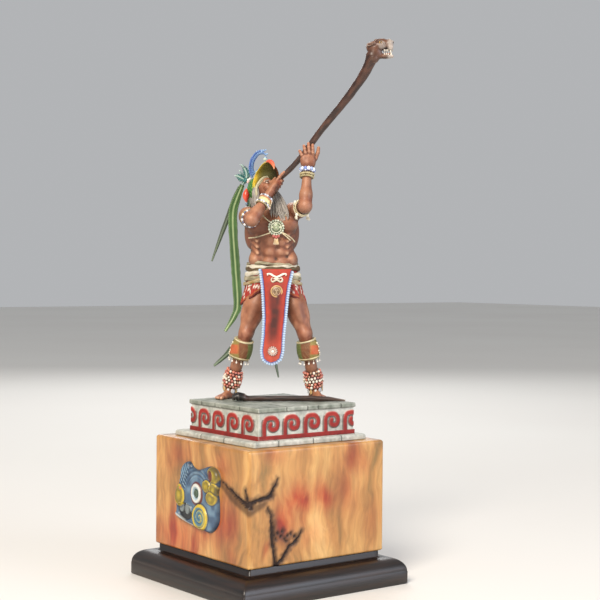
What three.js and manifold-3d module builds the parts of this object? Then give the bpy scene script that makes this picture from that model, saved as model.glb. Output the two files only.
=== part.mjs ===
// A painted warrior figurine blowing a long animal-headed trumpet, on a fretted stone
// platform, a block of burl wood and a dark moulded foot. Millimetres, +Z up.
// The origin is the middle of the foot's underside; the block's faces lie along X and Y.
import * as THREE from "three";
import { mergeVertices } from "three/addons/utils/BufferGeometryUtils.js";
import Module from "manifold-3d";

const wasm = await Module();
wasm.setup();

// Driving dimensions of the wooden base
const footHalf = 33.5;
const footTopHalf = 28.75;
const footEdgeHeight = 4.25;
const footTopHeight = 8.5;
const riserHalf = 26.5;
const footHeight = 11;
const blockSide = 55;
const blockTop = 47.75;

// Driving dimensions of the stone platform, whose upper box stands a little off the slab's middle
const slabHalf = 23.1;
const slabFace = 48.9;
const slabTop = 49.6;
const slabBevel = 0.7;
const slabShift = [0.3, -0.2];
const boxHalf = 19.5;
const boxShift = [0.8, -0.6];
const bandTop = 51;
const friezeTop = 58.5;
const copingHalf = 20.1;
const platformTop = 60;
const relief = 0.4;

// Each scroll of the fret rises from the band, turns over and curls in on itself.
const scrollPitch = 8.3;
const scrollWidth = 7;
const scrollTop = 57.4;
const scrollFoot = 52.3;
const scrollBand = 1.45;
const scrollsPerSide = 5;
const firstScroll = [1.1, 1.1, 1.1, -3.6];

// The badge on the block's -X face, about its own middle
const badgeCentre = [0.6, 30.1];
const badgeThick = 1.6;
const badgeSize = [25.4, 22];

// The figure has a frame of its own: it faces -Y, and its zero height is the platform's top.
const figureSpot = [4.5, 5.9];
const figureTurn = THREE.MathUtils.degToRad(-37.6);
const clearance = 0.3;

// Joints of the figure. "Right" and "left" are the figure's own.
const legs = {
  right: { hip: [-2.7, 0.2, 38.4], knee: [-7.9, -3, 22.6], ankle: [-13.3, 0.3, 4], turn: -34, girth: 1.04 },
  left: { hip: [5.9, 0.2, 38.4], knee: [11.9, -3, 22.6], ankle: [15.5, 0.3, 4], turn: 28, girth: 0.97 },
};
const arms = {
  right: { shoulder: [-7.8, 0.2, 62.1], elbow: [-5.9, -13.6, 60.4], wrist: [-1.1, -9.1, 68] },
  left: { shoulder: [7.3, 0.2, 63.5], elbow: [11.7, -13.4, 65], wrist: [12.3, -10.2, 77.4] },
};
const headCentre = [-2.3, -0.2, 71.5];
const headForward = new THREE.Vector3(0.5, -0.45, 0.74).normalize();
const headRight = new THREE.Vector3(-0.67, -0.74, 0).normalize();
const headUp = new THREE.Vector3().crossVectors(headRight, headForward);

// Centre line of the trumpet from mouthpiece to neck, with the radius at each place
const trumpetLine = [
  { at: [1.2, -3.7, 73.2], radius: 0.85 },
  { at: [6.1, -5, 77.4], radius: 0.95 },
  { at: [11, -6.7, 82.8], radius: 1.05 },
  { at: [17.2, -9.3, 91.1], radius: 1.15 },
  { at: [23.7, -11.8, 98.9], radius: 1.35 },
  { at: [29.4, -14.3, 106.5], radius: 1.55 },
  { at: [32.2, -15.9, 111.5], radius: 1.8 },
  { at: [33.3, -16.6, 114.4], radius: 2.2 },
  { at: [33.8, -16.7, 116.6], radius: 2 },
];

// Feather centre lines, root to tip, with their full width
const longPlumes = {
  plume_outer: {
    width: 1.7,
    line: [[-11, 8.2, 72], [-12.9, 9.4, 68.4], [-14.8, 10.1, 62.8], [-17.5, 10.3, 55.5], [-20.7, 10.2, 46.5]],
  },
  plume_broad: {
    width: 3.4,
    line: [[-10, 6.4, 72.6], [-12, 7.4, 68.3], [-13.2, 8.2, 64], [-13.2, 9, 57], [-12.3, 9.8, 44.5],
      [-11.5, 9.6, 32.3], [-12.5, 9.2, 28], [-15.8, 8.4, 22.3]],
  },
  plume_low: {
    width: 3.1,
    line: [[-7.6, 7.4, 70], [-7.4, 9.8, 62], [-5.6, 11.6, 50], [-4.6, 12, 38], [-7.4, 11.6, 25],
      [-13.8, 10.7, 15.8], [-19.7, 10, 10.2]],
  },
  plume_centre: {
    width: 2.8,
    line: [[-4.6, 7.6, 69], [-3.4, 10, 61], [-0.8, 12, 50], [0.6, 12.6, 38], [0.9, 12.6, 26],
      [1.3, 11.8, 15], [2.9, 10.6, 6.2]],
  },
};

function vec(p) {
  return new THREE.Vector3(...p);
}

function mix(a, b, t) {
  return vec(a).lerp(vec(b), t).toArray();
}

// A closed skin over equal rings of points, with a fan at each end
function skin(rings) {
  const count = rings[0].length;
  const points = rings.flat();
  const middle = (ring) => ring.reduce((sum, p) => sum.add(p), new THREE.Vector3()).divideScalar(count);
  const firstCap = points.push(middle(rings[0])) - 1;
  const lastCap = points.push(middle(rings.at(-1))) - 1;
  const index = [];
  for (let i = 0; i + 1 < rings.length; i++) {
    for (let k = 0; k < count; k++) {
      const a = i * count + k;
      const b = i * count + ((k + 1) % count);
      index.push(a, b, b + count, a, b + count, a + count);
    }
  }
  const top = (rings.length - 1) * count;
  for (let k = 0; k < count; k++) {
    const next = (k + 1) % count;
    index.push(firstCap, next, k, lastCap, top + k, top + next);
  }
  const geometry = new THREE.BufferGeometry().setFromPoints(points);
  geometry.setIndex(index);
  return geometry;
}

// An oval ring about a centre, spanned by two axes
function oval(centre, across, along, wide, deep, sides) {
  return Array.from({ length: sides }, (_, k) => {
    const angle = (2 * Math.PI * k) / sides;
    return centre
      .clone()
      .addScaledVector(across, wide * Math.cos(angle))
      .addScaledVector(along, deep * Math.sin(angle));
  });
}

// A limb: ovals square to a line through the stations, "across" being the direction of their width
function limb(stations, across = [1, 0, 0], sides = 8) {
  const centres = stations.map((s) => vec(s.at));
  const rings = stations.map((s, i) => {
    const before = centres[Math.max(i - 1, 0)];
    const after = centres[Math.min(i + 1, centres.length - 1)];
    const tangent = after.clone().sub(before).normalize();
    const u = vec(across).addScaledVector(tangent, -vec(across).dot(tangent)).normalize();
    const v = new THREE.Vector3().crossVectors(tangent, u);
    return oval(centres[i], u, v, s.radius, s.deep ?? s.radius, sides);
  });
  return solid(skin(rings));
}

// A three.js geometry as a solid for joining and cutting
function solid(geometry) {
  const bare = geometry.clone();
  bare.deleteAttribute("normal");
  bare.deleteAttribute("uv");
  const merged = mergeVertices(bare, 1e-4);
  const corners = [];
  for (let i = 0; i < merged.index.count; i += 3) {
    const [a, b, c] = [0, 1, 2].map((k) => merged.index.getX(i + k));
    if (a !== b && b !== c && a !== c) corners.push(a, b, c);
  }
  const mesh = new wasm.Mesh({
    numProp: 3,
    vertProperties: new Float32Array(merged.attributes.position.array),
    triVerts: new Uint32Array(corners),
  });
  return new wasm.Manifold(mesh);
}

function join(solids) {
  return solids.reduce((sum, s) => sum.add(s));
}

// A ball stretched to an egg along three given axes
function egg(centre, axes, radii, detail = [8, 6]) {
  const geometry = new THREE.SphereGeometry(1, ...detail);
  const [a, b, c] = axes.map((axis, i) => axis.clone().multiplyScalar(radii[i]));
  geometry.applyMatrix4(new THREE.Matrix4().makeBasis(a, b, c).setPosition(vec(centre)));
  return solid(geometry);
}

const uprightAxes = [new THREE.Vector3(1, 0, 0), new THREE.Vector3(0, 1, 0), new THREE.Vector3(0, 0, 1)];
const headAxes = [headForward, headUp, headRight];

// A point given by how far it is forward, up and to the right of the middle of the head
function onHead(forward, up, right) {
  return vec(headCentre)
    .addScaledVector(headForward, forward)
    .addScaledVector(headUp, up)
    .addScaledVector(headRight, right)
    .toArray();
}

// A square moulding: a profile of half-widths and heights carried round four mitred sides
function squareMoulding(profile) {
  const points = profile.map(([half, height]) => new THREE.Vector2(half * Math.SQRT2, height));
  return new THREE.LatheGeometry(points, 4, Math.PI / 4).rotateX(Math.PI / 2);
}

function woodenFoot() {
  const ovoloSteps = 5;
  const ovolo = Array.from({ length: ovoloSteps + 1 }, (_, i) => {
    const angle = (Math.PI / 2) * (i / ovoloSteps);
    return [
      footTopHalf + (footHalf - footTopHalf) * Math.cos(angle),
      footEdgeHeight + (footTopHeight - footEdgeHeight) * Math.sin(angle),
    ];
  });
  return squareMoulding([
    [0, 0],
    [footHalf, 0],
    ...ovolo,
    [riserHalf, footTopHeight],
    [riserHalf, footHeight],
    [0, footHeight],
  ]);
}

function burlBlock() {
  const height = blockTop - footHeight;
  return new THREE.BoxGeometry(blockSide, blockSide, height).translate(0, 0, footHeight + height / 2);
}

// The outline of one scroll, from the foot of its stem at x = 0: an oval turn whose second
// half tightens, and drifts away from the stem
function scrollShape() {
  const half = scrollBand / 2;
  const steps = 7;
  const line = [[half, bandTop - half]];
  for (let i = 0; i <= steps; i++) {
    const share = i / steps;
    const curl = THREE.MathUtils.smoothstep(share, 0.5, 1);
    const angle = Math.PI - share * 2 * Math.PI;
    const wide = (scrollWidth / 2 - half) * (1 - 0.62 * curl);
    const high = ((scrollTop - scrollFoot) / 2 - half) * (1 - 0.45 * curl);
    line.push([
      scrollWidth / 2 + 0.9 * curl + wide * Math.cos(angle),
      (scrollTop + scrollFoot) / 2 - 0.35 * curl + high * Math.sin(angle),
    ]);
  }
  const edge = (side) =>
    line.map((p, i) => {
      const [a, b] = [line[Math.max(i - 1, 0)], line[Math.min(i + 1, line.length - 1)]];
      const length = Math.hypot(b[0] - a[0], b[1] - a[1]);
      const out = (side * half) / length;
      return new THREE.Vector2(p[0] - (b[1] - a[1]) * out, p[1] + (b[0] - a[0]) * out);
    });
  return new THREE.Shape([...edge(1), ...edge(-1).reverse()]);
}

function stonePlatform() {
  const slab = squareMoulding([
    [0, blockTop],
    [slabHalf, blockTop],
    [slabHalf, slabFace],
    [slabHalf - slabBevel, slabTop],
    [0, slabTop],
  ]).translate(...slabShift, 0);
  const rooted = 0.2;
  const box = squareMoulding([
    [0, slabTop - rooted],
    [boxHalf + relief, slabTop - rooted],
    [boxHalf + relief, bandTop],
    [boxHalf, bandTop],
    [boxHalf, friezeTop],
    [copingHalf, friezeTop],
    [copingHalf, platformTop],
    [0, platformTop],
  ]);
  const scroll = new THREE.ExtrudeGeometry(scrollShape(), {
    depth: relief + rooted,
    bevelEnabled: false,
  }).rotateX(Math.PI / 2);
  const reach = boxHalf + relief;
  const trim = solid(new THREE.BoxGeometry(2 * reach, 2 * reach, 2 * platformTop));
  const scrolls = [];
  for (let side = 0; side < 4; side++) {
    for (let i = 0; i < scrollsPerSide; i++) {
      const along = firstScroll[side] - boxHalf + i * scrollPitch;
      const placed = scroll.clone().translate(along, -boxHalf + rooted, 0);
      scrolls.push(solid(placed.rotateZ((side * Math.PI) / 2)));
    }
  }
  const upper = join([solid(box), join(scrolls).intersect(trim)]);
  return solid(slab).add(upper.translate(...boxShift, 0));
}

// The badge: a bird-like scroll glyph, built up in layers. Its face looks along -X.
function glyphBadge() {
  const [wide, tall] = badgeSize;
  const outline = new THREE.SplineCurve(
    [
      [-0.26, 0.49], [-0.18, 0.5], [-0.1, 0.43], [0.02, 0.41], [0.26, 0.49], [0.4, 0.48], [0.49, 0.4],
      [0.5, 0.24], [0.47, 0.12], [0.49, -0.02], [0.48, -0.32], [0.32, -0.49], [0.12, -0.48], [-0.02, -0.46],
      [-0.26, -0.42], [-0.48, -0.36], [-0.49, -0.22], [-0.5, -0.04], [-0.45, 0.12], [-0.39, 0.22],
      [-0.35, 0.4], [-0.26, 0.49],
    ].map(([x, y]) => new THREE.Vector2(x * wide, y * tall)),
  );
  const plate = new THREE.ExtrudeGeometry(new THREE.Shape(outline.getPoints(30)), {
    depth: badgeThick,
    bevelEnabled: false,
  });
  const boss = (x, y, radius, height) =>
    new THREE.CylinderGeometry(radius * 0.85, radius, height, 12)
      .rotateX(Math.PI / 2)
      .translate(x * wide, y * tall, height / 2);
  const layers = [
    plate,
    boss(0.03, 0.06, 3.6, badgeThick + 0.6),
    boss(0.03, 0.06, 2.1, badgeThick + 1),
    boss(0.11, -0.28, 4.2, badgeThick + 0.8),
    boss(-0.36, -0.02, 3.1, badgeThick + 0.7),
    boss(0.36, 0.34, 2.7, badgeThick + 0.8),
    boss(0.34, 0.08, 3.3, badgeThick + 0.5),
  ];
  const hung = layers.map((layer) =>
    solid(layer.rotateX(Math.PI / 2).rotateZ(-Math.PI / 2).translate(-blockSide / 2, ...badgeCentre)),
  );
  return join(hung);
}

// A bare leg with its gaiter below the knee and its band of rattles above the foot
function leg({ hip, knee, ankle, girth }) {
  const stations = (list) => list.map(([at, radius, deep = radius]) => ({ at, radius, deep }));
  const thigh = stations([
    [[hip[0] * 0.8 + 0.3, hip[1], hip[2] + 3], 3, 3.4],
    [hip, 4.3 * girth, 4.8],
    [mix(hip, knee, 0.4), 4.1 * girth, 4.3],
    [mix(hip, knee, 0.75), 3.5 * girth, 3.4],
    [knee, 2.7, 2.8],
    [mix(knee, ankle, 0.1), 2.3],
  ]);
  const calf = mix(knee, ankle, 0.3);
  const shin = stations([
    [mix(hip, knee, 0.93), 2.3],
    [mix(knee, ankle, 0.06), 2.6],
    [[calf[0], calf[1] + 0.9, calf[2]], 2.8, 3],
    [mix(knee, ankle, 0.6), 2.1, 2.2],
    [mix(knee, ankle, 0.85), 1.7, 1.8],
    [ankle, 1.75, 1.9],
    [[ankle[0], ankle[1], ankle[2] - 2.6], 1.6, 1.9],
  ]);
  const gaiter = stations([
    [mix(knee, ankle, 0.12), 3.2],
    [mix(knee, ankle, 0.2), 3.8],
    [mix(knee, ankle, 0.38), 4.1],
    [mix(knee, ankle, 0.46), 3.5],
  ]);
  const rattles = stations([
    [mix(knee, ankle, 0.68), 2.4],
    [mix(knee, ankle, 0.75), 3.3],
    [mix(knee, ankle, 0.95), 3.5],
    [mix(knee, ankle, 1.02), 2.5],
  ]);
  return join([thigh, shin, gaiter, rattles].map((list) => limb(list)));
}

// A bare foot from heel to toes, turned outward, to be trimmed flat underneath
function foot({ ankle, turn }) {
  const angle = THREE.MathUtils.degToRad(turn);
  const ahead = [Math.sin(angle), -Math.cos(angle)];
  const side = [-ahead[1], ahead[0], 0];
  const profile = [
    [-3, 1, 0.9, 1],
    [-2.4, 1.2, 1.6, 1.8],
    [0, 1.6, 1.8, 2.4],
    [2.4, 1.2, 2, 2],
    [5, 0.8, 2.4, 1.35],
    [7.2, 0.5, 2.2, 0.95],
    [8.4, 0.4, 1.6, 0.6],
  ];
  const stations = profile.map(([forward, height, radius, deep]) => ({
    at: [ankle[0] + ahead[0] * forward, ankle[1] + ahead[1] * forward, height],
    radius,
    deep,
  }));
  return limb(stations, side);
}

function torso() {
  const rings = [
    [1.6, 0.3, 34.4, 2.6, 2.6],
    [1.6, 0.3, 36.4, 5.2, 4],
    [1.5, 0.4, 40, 7.1, 5.1],
    [1.2, 0.3, 44, 7.5, 4.9],
    [0.8, 0, 48.6, 7.4, 4.6],
    [0.5, 0, 52.6, 7.9, 5],
    [0.4, 0.2, 56.7, 8.8, 5.7],
    [0.3, 0.3, 60, 9, 5.8],
    [0.2, 0.6, 62.9, 8.1, 4.8],
    [0, 0.9, 65.1, 5.2, 3.4],
    [-0.3, 1, 66.5, 2.8, 2.6],
  ].map(([x, y, z, wide, deep]) => ({ at: [x, y, z], radius: wide, deep }));
  const breast = (x, z) => egg([x, -3.7, z], uprightAxes, [4.4, 2.6, 3.2]);
  return join([limb(rings, [1, 0, 0], 14), breast(-3.8, 59.4), breast(4.7, 59.8)]);
}

// The hip cloth: a flaring wrap whose hem falls from the middle to each hip
function hipCloth() {
  const rings = [
    [0.7, 46.4, 7.9, 5.3],
    [0.7, 45.6, 8.3, 5.7],
    [0.9, 41.5, 9, 6.4],
    [1.1, 37, 10, 7],
    [1.2, 33.5, 11, 7.3],
    [1.2, 30.4, 11.6, 7.4],
  ].map(([x, z, wide, deep]) => ({ at: [x, 0.4, z], radius: wide, deep }));
  const hemMiddle = 2.2;
  const hemApex = 40.4;
  const hemSlope = 0.76;
  const reach = 16;
  const below = 20;
  const wedge = new THREE.Shape([
    new THREE.Vector2(0, hemApex),
    new THREE.Vector2(-reach, hemApex - reach * hemSlope),
    new THREE.Vector2(-reach, below),
    new THREE.Vector2(reach, below),
    new THREE.Vector2(reach, hemApex - reach * hemSlope),
  ]);
  const cut = new THREE.ExtrudeGeometry(wedge, { depth: 2 * reach, bevelEnabled: false })
    .rotateX(Math.PI / 2)
    .translate(hemMiddle, reach, 0);
  return limb(rings, [-1, 0, 0], 14).subtract(solid(cut));
}

// An arm with a band above the elbow and a cuff at the wrist
function arm({ shoulder, elbow, wrist }) {
  const upperArm = [[-0.2, 2.2], [-0.05, 3.1], [0.2, 3.3], [0.55, 2.9], [0.85, 2.4], [1, 2.2], [1.1, 1.5]];
  const armBand = [[0.42, 3], [0.47, 3.4], [0.6, 3.4], [0.65, 3]];
  const forearm = [[-0.12, 1.6], [0.02, 2.3], [0.3, 2.6], [0.7, 1.9], [1, 1.6], [1.08, 1.4]];
  const cuff = [[0.66, 2.1], [0.7, 2.5], [0.94, 2.5], [0.98, 2]];
  const along = (from, to, list) => list.map(([t, radius]) => ({ at: mix(from, to, t), radius }));
  return join([
    limb(along(shoulder, elbow, upperArm), [0, 0, 1]),
    limb(along(shoulder, elbow, armBand), [0, 0, 1]),
    limb(along(elbow, wrist, forearm)),
    limb(along(elbow, wrist, cuff)),
  ]);
}

function finger(points, radius = 0.6) {
  const last = points.length - 1;
  const stations = points.map((at, i) => ({ at, radius: i === last ? radius * 0.6 : radius }));
  return limb(stations, [0, 1, 0.2], 5);
}

// The raised hand: palm below the trumpet, four fingers up its near side, thumb up its far side
function openHand({ wrist }) {
  const palm = limb([
    { at: mix(wrist, [12.4, -10.1, 80], -0.2), radius: 1.5, deep: 1.2 },
    { at: [12.4, -10.1, 78.8], radius: 2, deep: 1.1 },
    { at: [12.5, -10, 80.6], radius: 2.4, deep: 1.05 },
    { at: [12.3, -9.9, 82.2], radius: 2.1, deep: 0.85 },
  ]);
  const tips = [[8.9, 83.3], [10.3, 85.2], [11.6, 86.3], [13, 86.2]];
  const fingers = tips.map(([x, z], i) => {
    const root = [10.7 + i * 1.05, -10, 81.4];
    return finger([root, [(root[0] + x) / 2, -10.3, (root[2] + z) / 2], [x, -9.9, z]]);
  });
  const thumb = finger([[13.8, -9.8, 79], [15.2, -9, 81.6], [16, -8.2, 83.8], [16, -7.3, 85.6]], 0.7);
  return join([palm, ...fingers, thumb]);
}

// The hand at the mouth: a loose fist round the trumpet, with one finger laid along it
function closedHand({ wrist }) {
  const fist = limb(
    [
      { at: mix(wrist, [1.5, -6.7, 72], -0.1), radius: 1.5, deep: 1.3 },
      { at: [-0.1, -8, 69.6], radius: 1.8, deep: 1.4 },
      { at: [1.3, -7, 71.8], radius: 2.3, deep: 1.9 },
      { at: [2.2, -6.3, 73.5], radius: 2, deep: 1.9 },
      { at: [2.8, -5.8, 74.7], radius: 1.2, deep: 1.2 },
    ],
    [0.8, 0, -0.6],
  );
  const pointing = finger([[2.3, -7.1, 73.1], [3.5, -7.3, 74.7], [4.6, -7.3, 76.4]]);
  return fist.add(pointing);
}

// The bird-headed hood, grown by "extra" where something else has to clear it
function hood(extra = 0) {
  const cap = egg(onHead(-1.4, 1, 0), headAxes, [4.8 + extra, 4.7 + extra, 4.4 + extra], [12, 8]);
  const visor = [
    [[-2, -1.2, 73.2], 4.6, 3],
    [[-1.7, -2.4, 75.6], 4.3, 2.6],
    [[-1, -4, 77.8], 3.1, 2.1],
    [[-0.5, -5.6, 79.4], 2, 1.6],
    [[-0.3, -6.4, 80.2], 1, 1],
  ];
  const hook = [
    [[-0.9, -5.6, 79], 1.1, 1.1],
    [[0.2, -6.9, 79.3], 1.2, 1.1],
    [[0.9, -7.7, 78.3], 0.8, 0.8],
    [[1.1, -7.9, 77.4], 0.3, 0.3],
  ];
  const build = (list) =>
    limb(
      list.map(([at, radius, deep]) => ({ at, radius: radius + extra, deep: deep + extra })),
      [0.95, 0.1, 0.3],
    );
  return join([cap, build(visor), build(hook)]);
}

function headAndHair() {
  const neck = limb([
    { at: [0.1, 1, 64], radius: 3.3 },
    { at: [-0.7, 0.7, 67.2], radius: 2.9 },
    { at: [-1.6, 0.3, 70], radius: 2.8 },
  ]);
  const skull = egg(headCentre, headAxes, [4, 4.6, 3.4], [12, 8]);
  const jaw = egg(onHead(1.4, -2.6, 0), headAxes, [2.6, 2.2, 2.5]);
  const sideHair = (points) => {
    const widths = [1.4, 1.9, 1.7, 1.4, 0.7];
    return limb(
      points.map((at, i) => ({ at, radius: widths[i], deep: widths[i] * 0.75 })),
      [1, 0, 0.2],
    );
  };
  const backHair = limb(
    [
      { at: [-3.4, 1.6, 70.4], radius: 3, deep: 2.6 },
      { at: [-2.8, 3.6, 67], radius: 4, deep: 2.6 },
      { at: [-1.4, 5, 62.3], radius: 4.4, deep: 2 },
      { at: [-0.6, 5.4, 57.2], radius: 3.6, deep: 1.8 },
      { at: [-0.2, 5.2, 52.8], radius: 2, deep: 1.1 },
    ],
    [1, 0, 0],
    10,
  );
  return join([
    neck,
    skull,
    jaw,
    backHair,
    sideHair([[-5.6, -1.3, 71], [-5.1, -1.6, 68.4], [-5.2, -2, 66], [-5.2, -2.4, 64.2], [-5.2, -2.6, 62.8]]),
    sideHair([[0.6, -1.4, 71], [2.2, -2.6, 68.6], [3.8, -4.2, 65.6], [4.8, -5.4, 62.4], [5.2, -6.2, 60]]),
  ]);
}

function pectoral() {
  const disc = limb(
    [
      { at: [2, -4.6, 58.1], radius: 2.5 },
      { at: [2, -6.4, 58.1], radius: 2.7 },
      { at: [2, -6.9, 58.1], radius: 1.9 },
    ],
    [1, 0, 0],
    12,
  );
  return disc.add(egg([1.9, -6, 55.1], uprightAxes, [0.9, 0.8, 0.9]));
}

// The trumpet's tube, grown by "extra" all round and beyond its mouthpiece
function trumpetTube(extra = 0) {
  const [first, second] = trumpetLine.map(({ at }) => vec(at));
  const start = first.addScaledVector(second.sub(first).normalize(), -extra).toArray();
  return limb(
    trumpetLine.map(({ at, radius }, i) => ({ at: i === 0 ? start : at, radius: radius + extra })),
    [0, 1, 0],
    10,
  );
}

// The bell: the head of a snarling cat, its mouth open away from the player
function catHead() {
  const skull = [
    [[31, -16.7, 116.4], 0.5, 0.5],
    [[31.8, -16.7, 116.6], 1.7, 1.5],
    [[33.9, -16.7, 117.2], 2.6, 2.1],
    [[36.2, -16.8, 117.9], 2.7, 2.3],
    [[38.1, -16.8, 118.1], 2.4, 2.2],
    [[39.3, -16.8, 117.8], 2, 1.9],
    [[40.1, -16.8, 117.4], 1.1, 1.1],
  ];
  const lowerJaw = [
    [[34.2, -16.8, 114.8], 1.9, 1.4],
    [[36.4, -16.8, 114.3], 1.8, 1],
    [[38.6, -16.8, 114.1], 1.5, 0.8],
    [[40, -16.8, 114.3], 0.8, 0.6],
  ];
  const ear = (side) => [
    [[33.6, -16.7 + side * 1.6, 118], 0.9, 0.6],
    [[32.2, -16.7 + side * 2.1, 118.5], 0.7, 0.5],
    [[31.3, -16.7 + side * 2.2, 118.4], 0.2, 0.2],
  ];
  return join(
    [skull, lowerJaw, ear(-1), ear(1)].map((list) =>
      limb(
        list.map(([at, radius, deep]) => ({ at, radius, deep })),
        [0, 1, 0],
      ),
    ),
  );
}

// A flat feather along a curve, as a thin leaf-shaped solid
function feather({ line, width }) {
  const curve = new THREE.CatmullRomCurve3(line.map(vec));
  const steps = 14;
  const thick = 0.5;
  const stations = Array.from({ length: steps + 1 }, (_, i) => {
    const share = i / steps;
    const swell = Math.min(1, 0.45 + share * 3) * Math.sqrt(Math.max(0.02, 1 - Math.pow(share, 5)));
    return { at: curve.getPointAt(share).toArray(), radius: (width / 2) * swell, deep: thick / 2 };
  });
  return limb(stations, [1, 0.1, 0.15], 6);
}

// The crest: a bunch of blue plumes that curls forward over the hood, and a small curl inside it
function crest() {
  const bunch = [
    [[-6.4, 3, 75.4], 1, 1.3],
    [[-6.8, 2.6, 78.4], 1.3, 2],
    [[-6.2, 2, 81.6], 1.3, 2.3],
    [[-4.2, 1.4, 84], 1.3, 2.2],
    [[-2.1, 0.6, 84], 1.1, 1.7],
    [[-0.9, 0.2, 83.2], 0.6, 0.8],
  ];
  const curl = [
    [[-5.8, 2.2, 77.6], 0.8, 0.8],
    [[-3.4, 1.2, 79.6], 0.9, 1.1],
    [[-2, 0.4, 81], 0.7, 0.9],
    [[-1.8, 0.2, 82.2], 0.5, 0.5],
  ];
  const [outer, inner] = [bunch, curl].map((list) =>
    limb(
      list.map(([at, radius, deep]) => ({ at, radius, deep })),
      [0.9, 0, 0.4],
    ),
  );
  return outer.add(inner).subtract(hood(clearance));
}

// A pointed leaf-shaped feather standing out of the knot beside the hood
function leaf(root, tip, width) {
  const bulge = vec(root).lerp(vec(tip), 0.5).add(new THREE.Vector3(0, 0.5, 0.2)).toArray();
  return limb(
    [
      { at: root, radius: width * 0.25, deep: 0.35 },
      { at: mix(root, bulge, 0.6), radius: width * 0.45, deep: 0.35 },
      { at: bulge, radius: width * 0.5, deep: 0.3 },
      { at: mix(bulge, tip, 0.6), radius: width * 0.35, deep: 0.25 },
      { at: tip, radius: 0.08, deep: 0.08 },
    ],
    [0.7, 0.2, 0.7],
    6,
  );
}

function leafPlumes() {
  const knot = egg([-8.8, 4.6, 74.5], uprightAxes, [1, 1, 1.1]);
  return join([
    knot,
    leaf([-8.8, 4.6, 74.8], [-10.5, 4.2, 80.3], 2.6),
    leaf([-9, 4.6, 74.5], [-12.6, 4.2, 75.9], 3),
    leaf([-8.7, 4.8, 74.2], [-11, 6.4, 78], 2.4),
  ]).subtract(hood(clearance));
}

function earPendant() {
  const profile = [[71.6, 0.3], [70.4, 0.9], [68.6, 1.1], [67.2, 0.8], [66.6, 0.4]];
  return limb(profile.map(([height, radius]) => ({ at: [-8.3, -1.6, height], radius })));
}

// The long panel of the loincloth, hanging free in front from the belt
function apron() {
  const stations = [
    [44.2, 2.2, -6.6, 6.2],
    [43, 2.2, -7.1, 5.9],
    [38, 2, -8.1, 5],
    [34, 1.9, -8.5, 4.6],
    [28, 1.8, -8.8, 4.2],
    [22, 1.4, -9, 4],
    [16.5, 1, -9.1, 4.2],
    [14, 0.9, -9.1, 3.7],
    [12.6, 0.8, -9.1, 2.4],
    [12, 0.8, -9.1, 1],
  ];
  return limb(
    stations.map(([z, x, y, half]) => ({ at: [x, y, z], radius: half, deep: 0.5 })),
    [-1, 0, 0],
  );
}

// The club lies on the platform in front of the feet.
function warClub() {
  const rest = 0.1;
  const stations = [
    [-11.7, -12.4, 0.6],
    [-11.3, -12.3, 1.2],
    [-10.1, -12.1, 1.55],
    [-8.6, -11.9, 1.4],
    [-6.8, -11.6, 0.95],
    [2, -10.9, 1],
    [12, -10, 1],
    [20, -9.4, 0.8],
    [25.6, -9, 0.3],
  ];
  return limb(
    stations.map(([x, y, radius]) => ({ at: [x, y, radius + rest], radius })),
    [0, 1, 0],
  );
}

// Where the trumpet passes through the hands, a fattened copy of it is taken out of the figure.
function warriorFigure() {
  const ground = solid(new THREE.BoxGeometry(80, 80, 10).translate(0, 0, -5));
  const body = join([
    torso(),
    hipCloth(),
    leg(legs.right),
    leg(legs.left),
    foot(legs.right),
    foot(legs.left),
    arm(arms.right),
    arm(arms.left),
    openHand(arms.left),
    closedHand(arms.right),
    headAndHair(),
    hood(),
    pectoral(),
  ]);
  return body.subtract(trumpetTube(clearance)).subtract(ground);
}

function paint(colour, roughness) {
  return new THREE.MeshStandardMaterial({ color: colour, roughness, metalness: 0 });
}

function meshOf(name, shape, material) {
  let geometry = shape;
  if (!shape.isBufferGeometry) {
    const { vertProperties, triVerts, numProp, numVert } = shape.getMesh();
    const positions = new Float32Array(numVert * 3);
    for (let i = 0; i < numVert; i++) {
      positions.set(vertProperties.subarray(i * numProp, i * numProp + 3), i * 3);
    }
    geometry = new THREE.BufferGeometry();
    geometry.setAttribute("position", new THREE.BufferAttribute(positions, 3));
    geometry.setIndex(new THREE.BufferAttribute(new Uint32Array(triVerts), 1));
    geometry.computeVertexNormals();
  }
  const mesh = new THREE.Mesh(geometry, material);
  mesh.name = name;
  return mesh;
}

const stand = new THREE.Group();
stand.add(
  meshOf("wooden_foot", woodenFoot(), paint(0x1d1512, 0.35)),
  meshOf("burl_block", burlBlock(), paint(0xc98a52, 0.3)),
  meshOf("stone_platform", stonePlatform(), paint(0x9aa096, 0.8)),
  meshOf("glyph_badge", glyphBadge(), paint(0x4d6a8c, 0.5)),
);

const figure = new THREE.Group();
figure.position.set(...figureSpot, platformTop);
figure.rotation.z = figureTurn;
const greenPaint = paint(0x3f6b3f, 0.7);
figure.add(
  meshOf("warrior", warriorFigure(), paint(0x8a4f33, 0.55)),
  meshOf("apron", apron(), paint(0xb5402e, 0.7)),
  meshOf("trumpet", trumpetTube().add(catHead()), paint(0x4a2c1e, 0.5)),
  meshOf("war_club", warClub(), paint(0x3a2620, 0.45)),
  meshOf("blue_crest", crest(), paint(0x2f63b8, 0.6)),
  meshOf("leaf_plumes", leafPlumes(), paint(0x2f7a80, 0.6)),
  meshOf("ear_pendant", earPendant(), paint(0xd9452b, 0.5)),
  ...Object.entries(longPlumes).map(([name, plume]) => meshOf(name, feather(plume), greenPaint)),
);

const figurine = new THREE.Group();
figurine.add(stand, figure);

export default figurine;
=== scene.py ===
# A painted display figurine on a burl wood block: a warrior in a bird-headed hood blows a
# long cat-headed trumpet. Lengths are millimetres until a mesh is made, in the frame of the
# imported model: +Z up, origin in the middle of the foot's underside.
import math
import bpy
import numpy as np
from mathutils import Matrix


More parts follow.
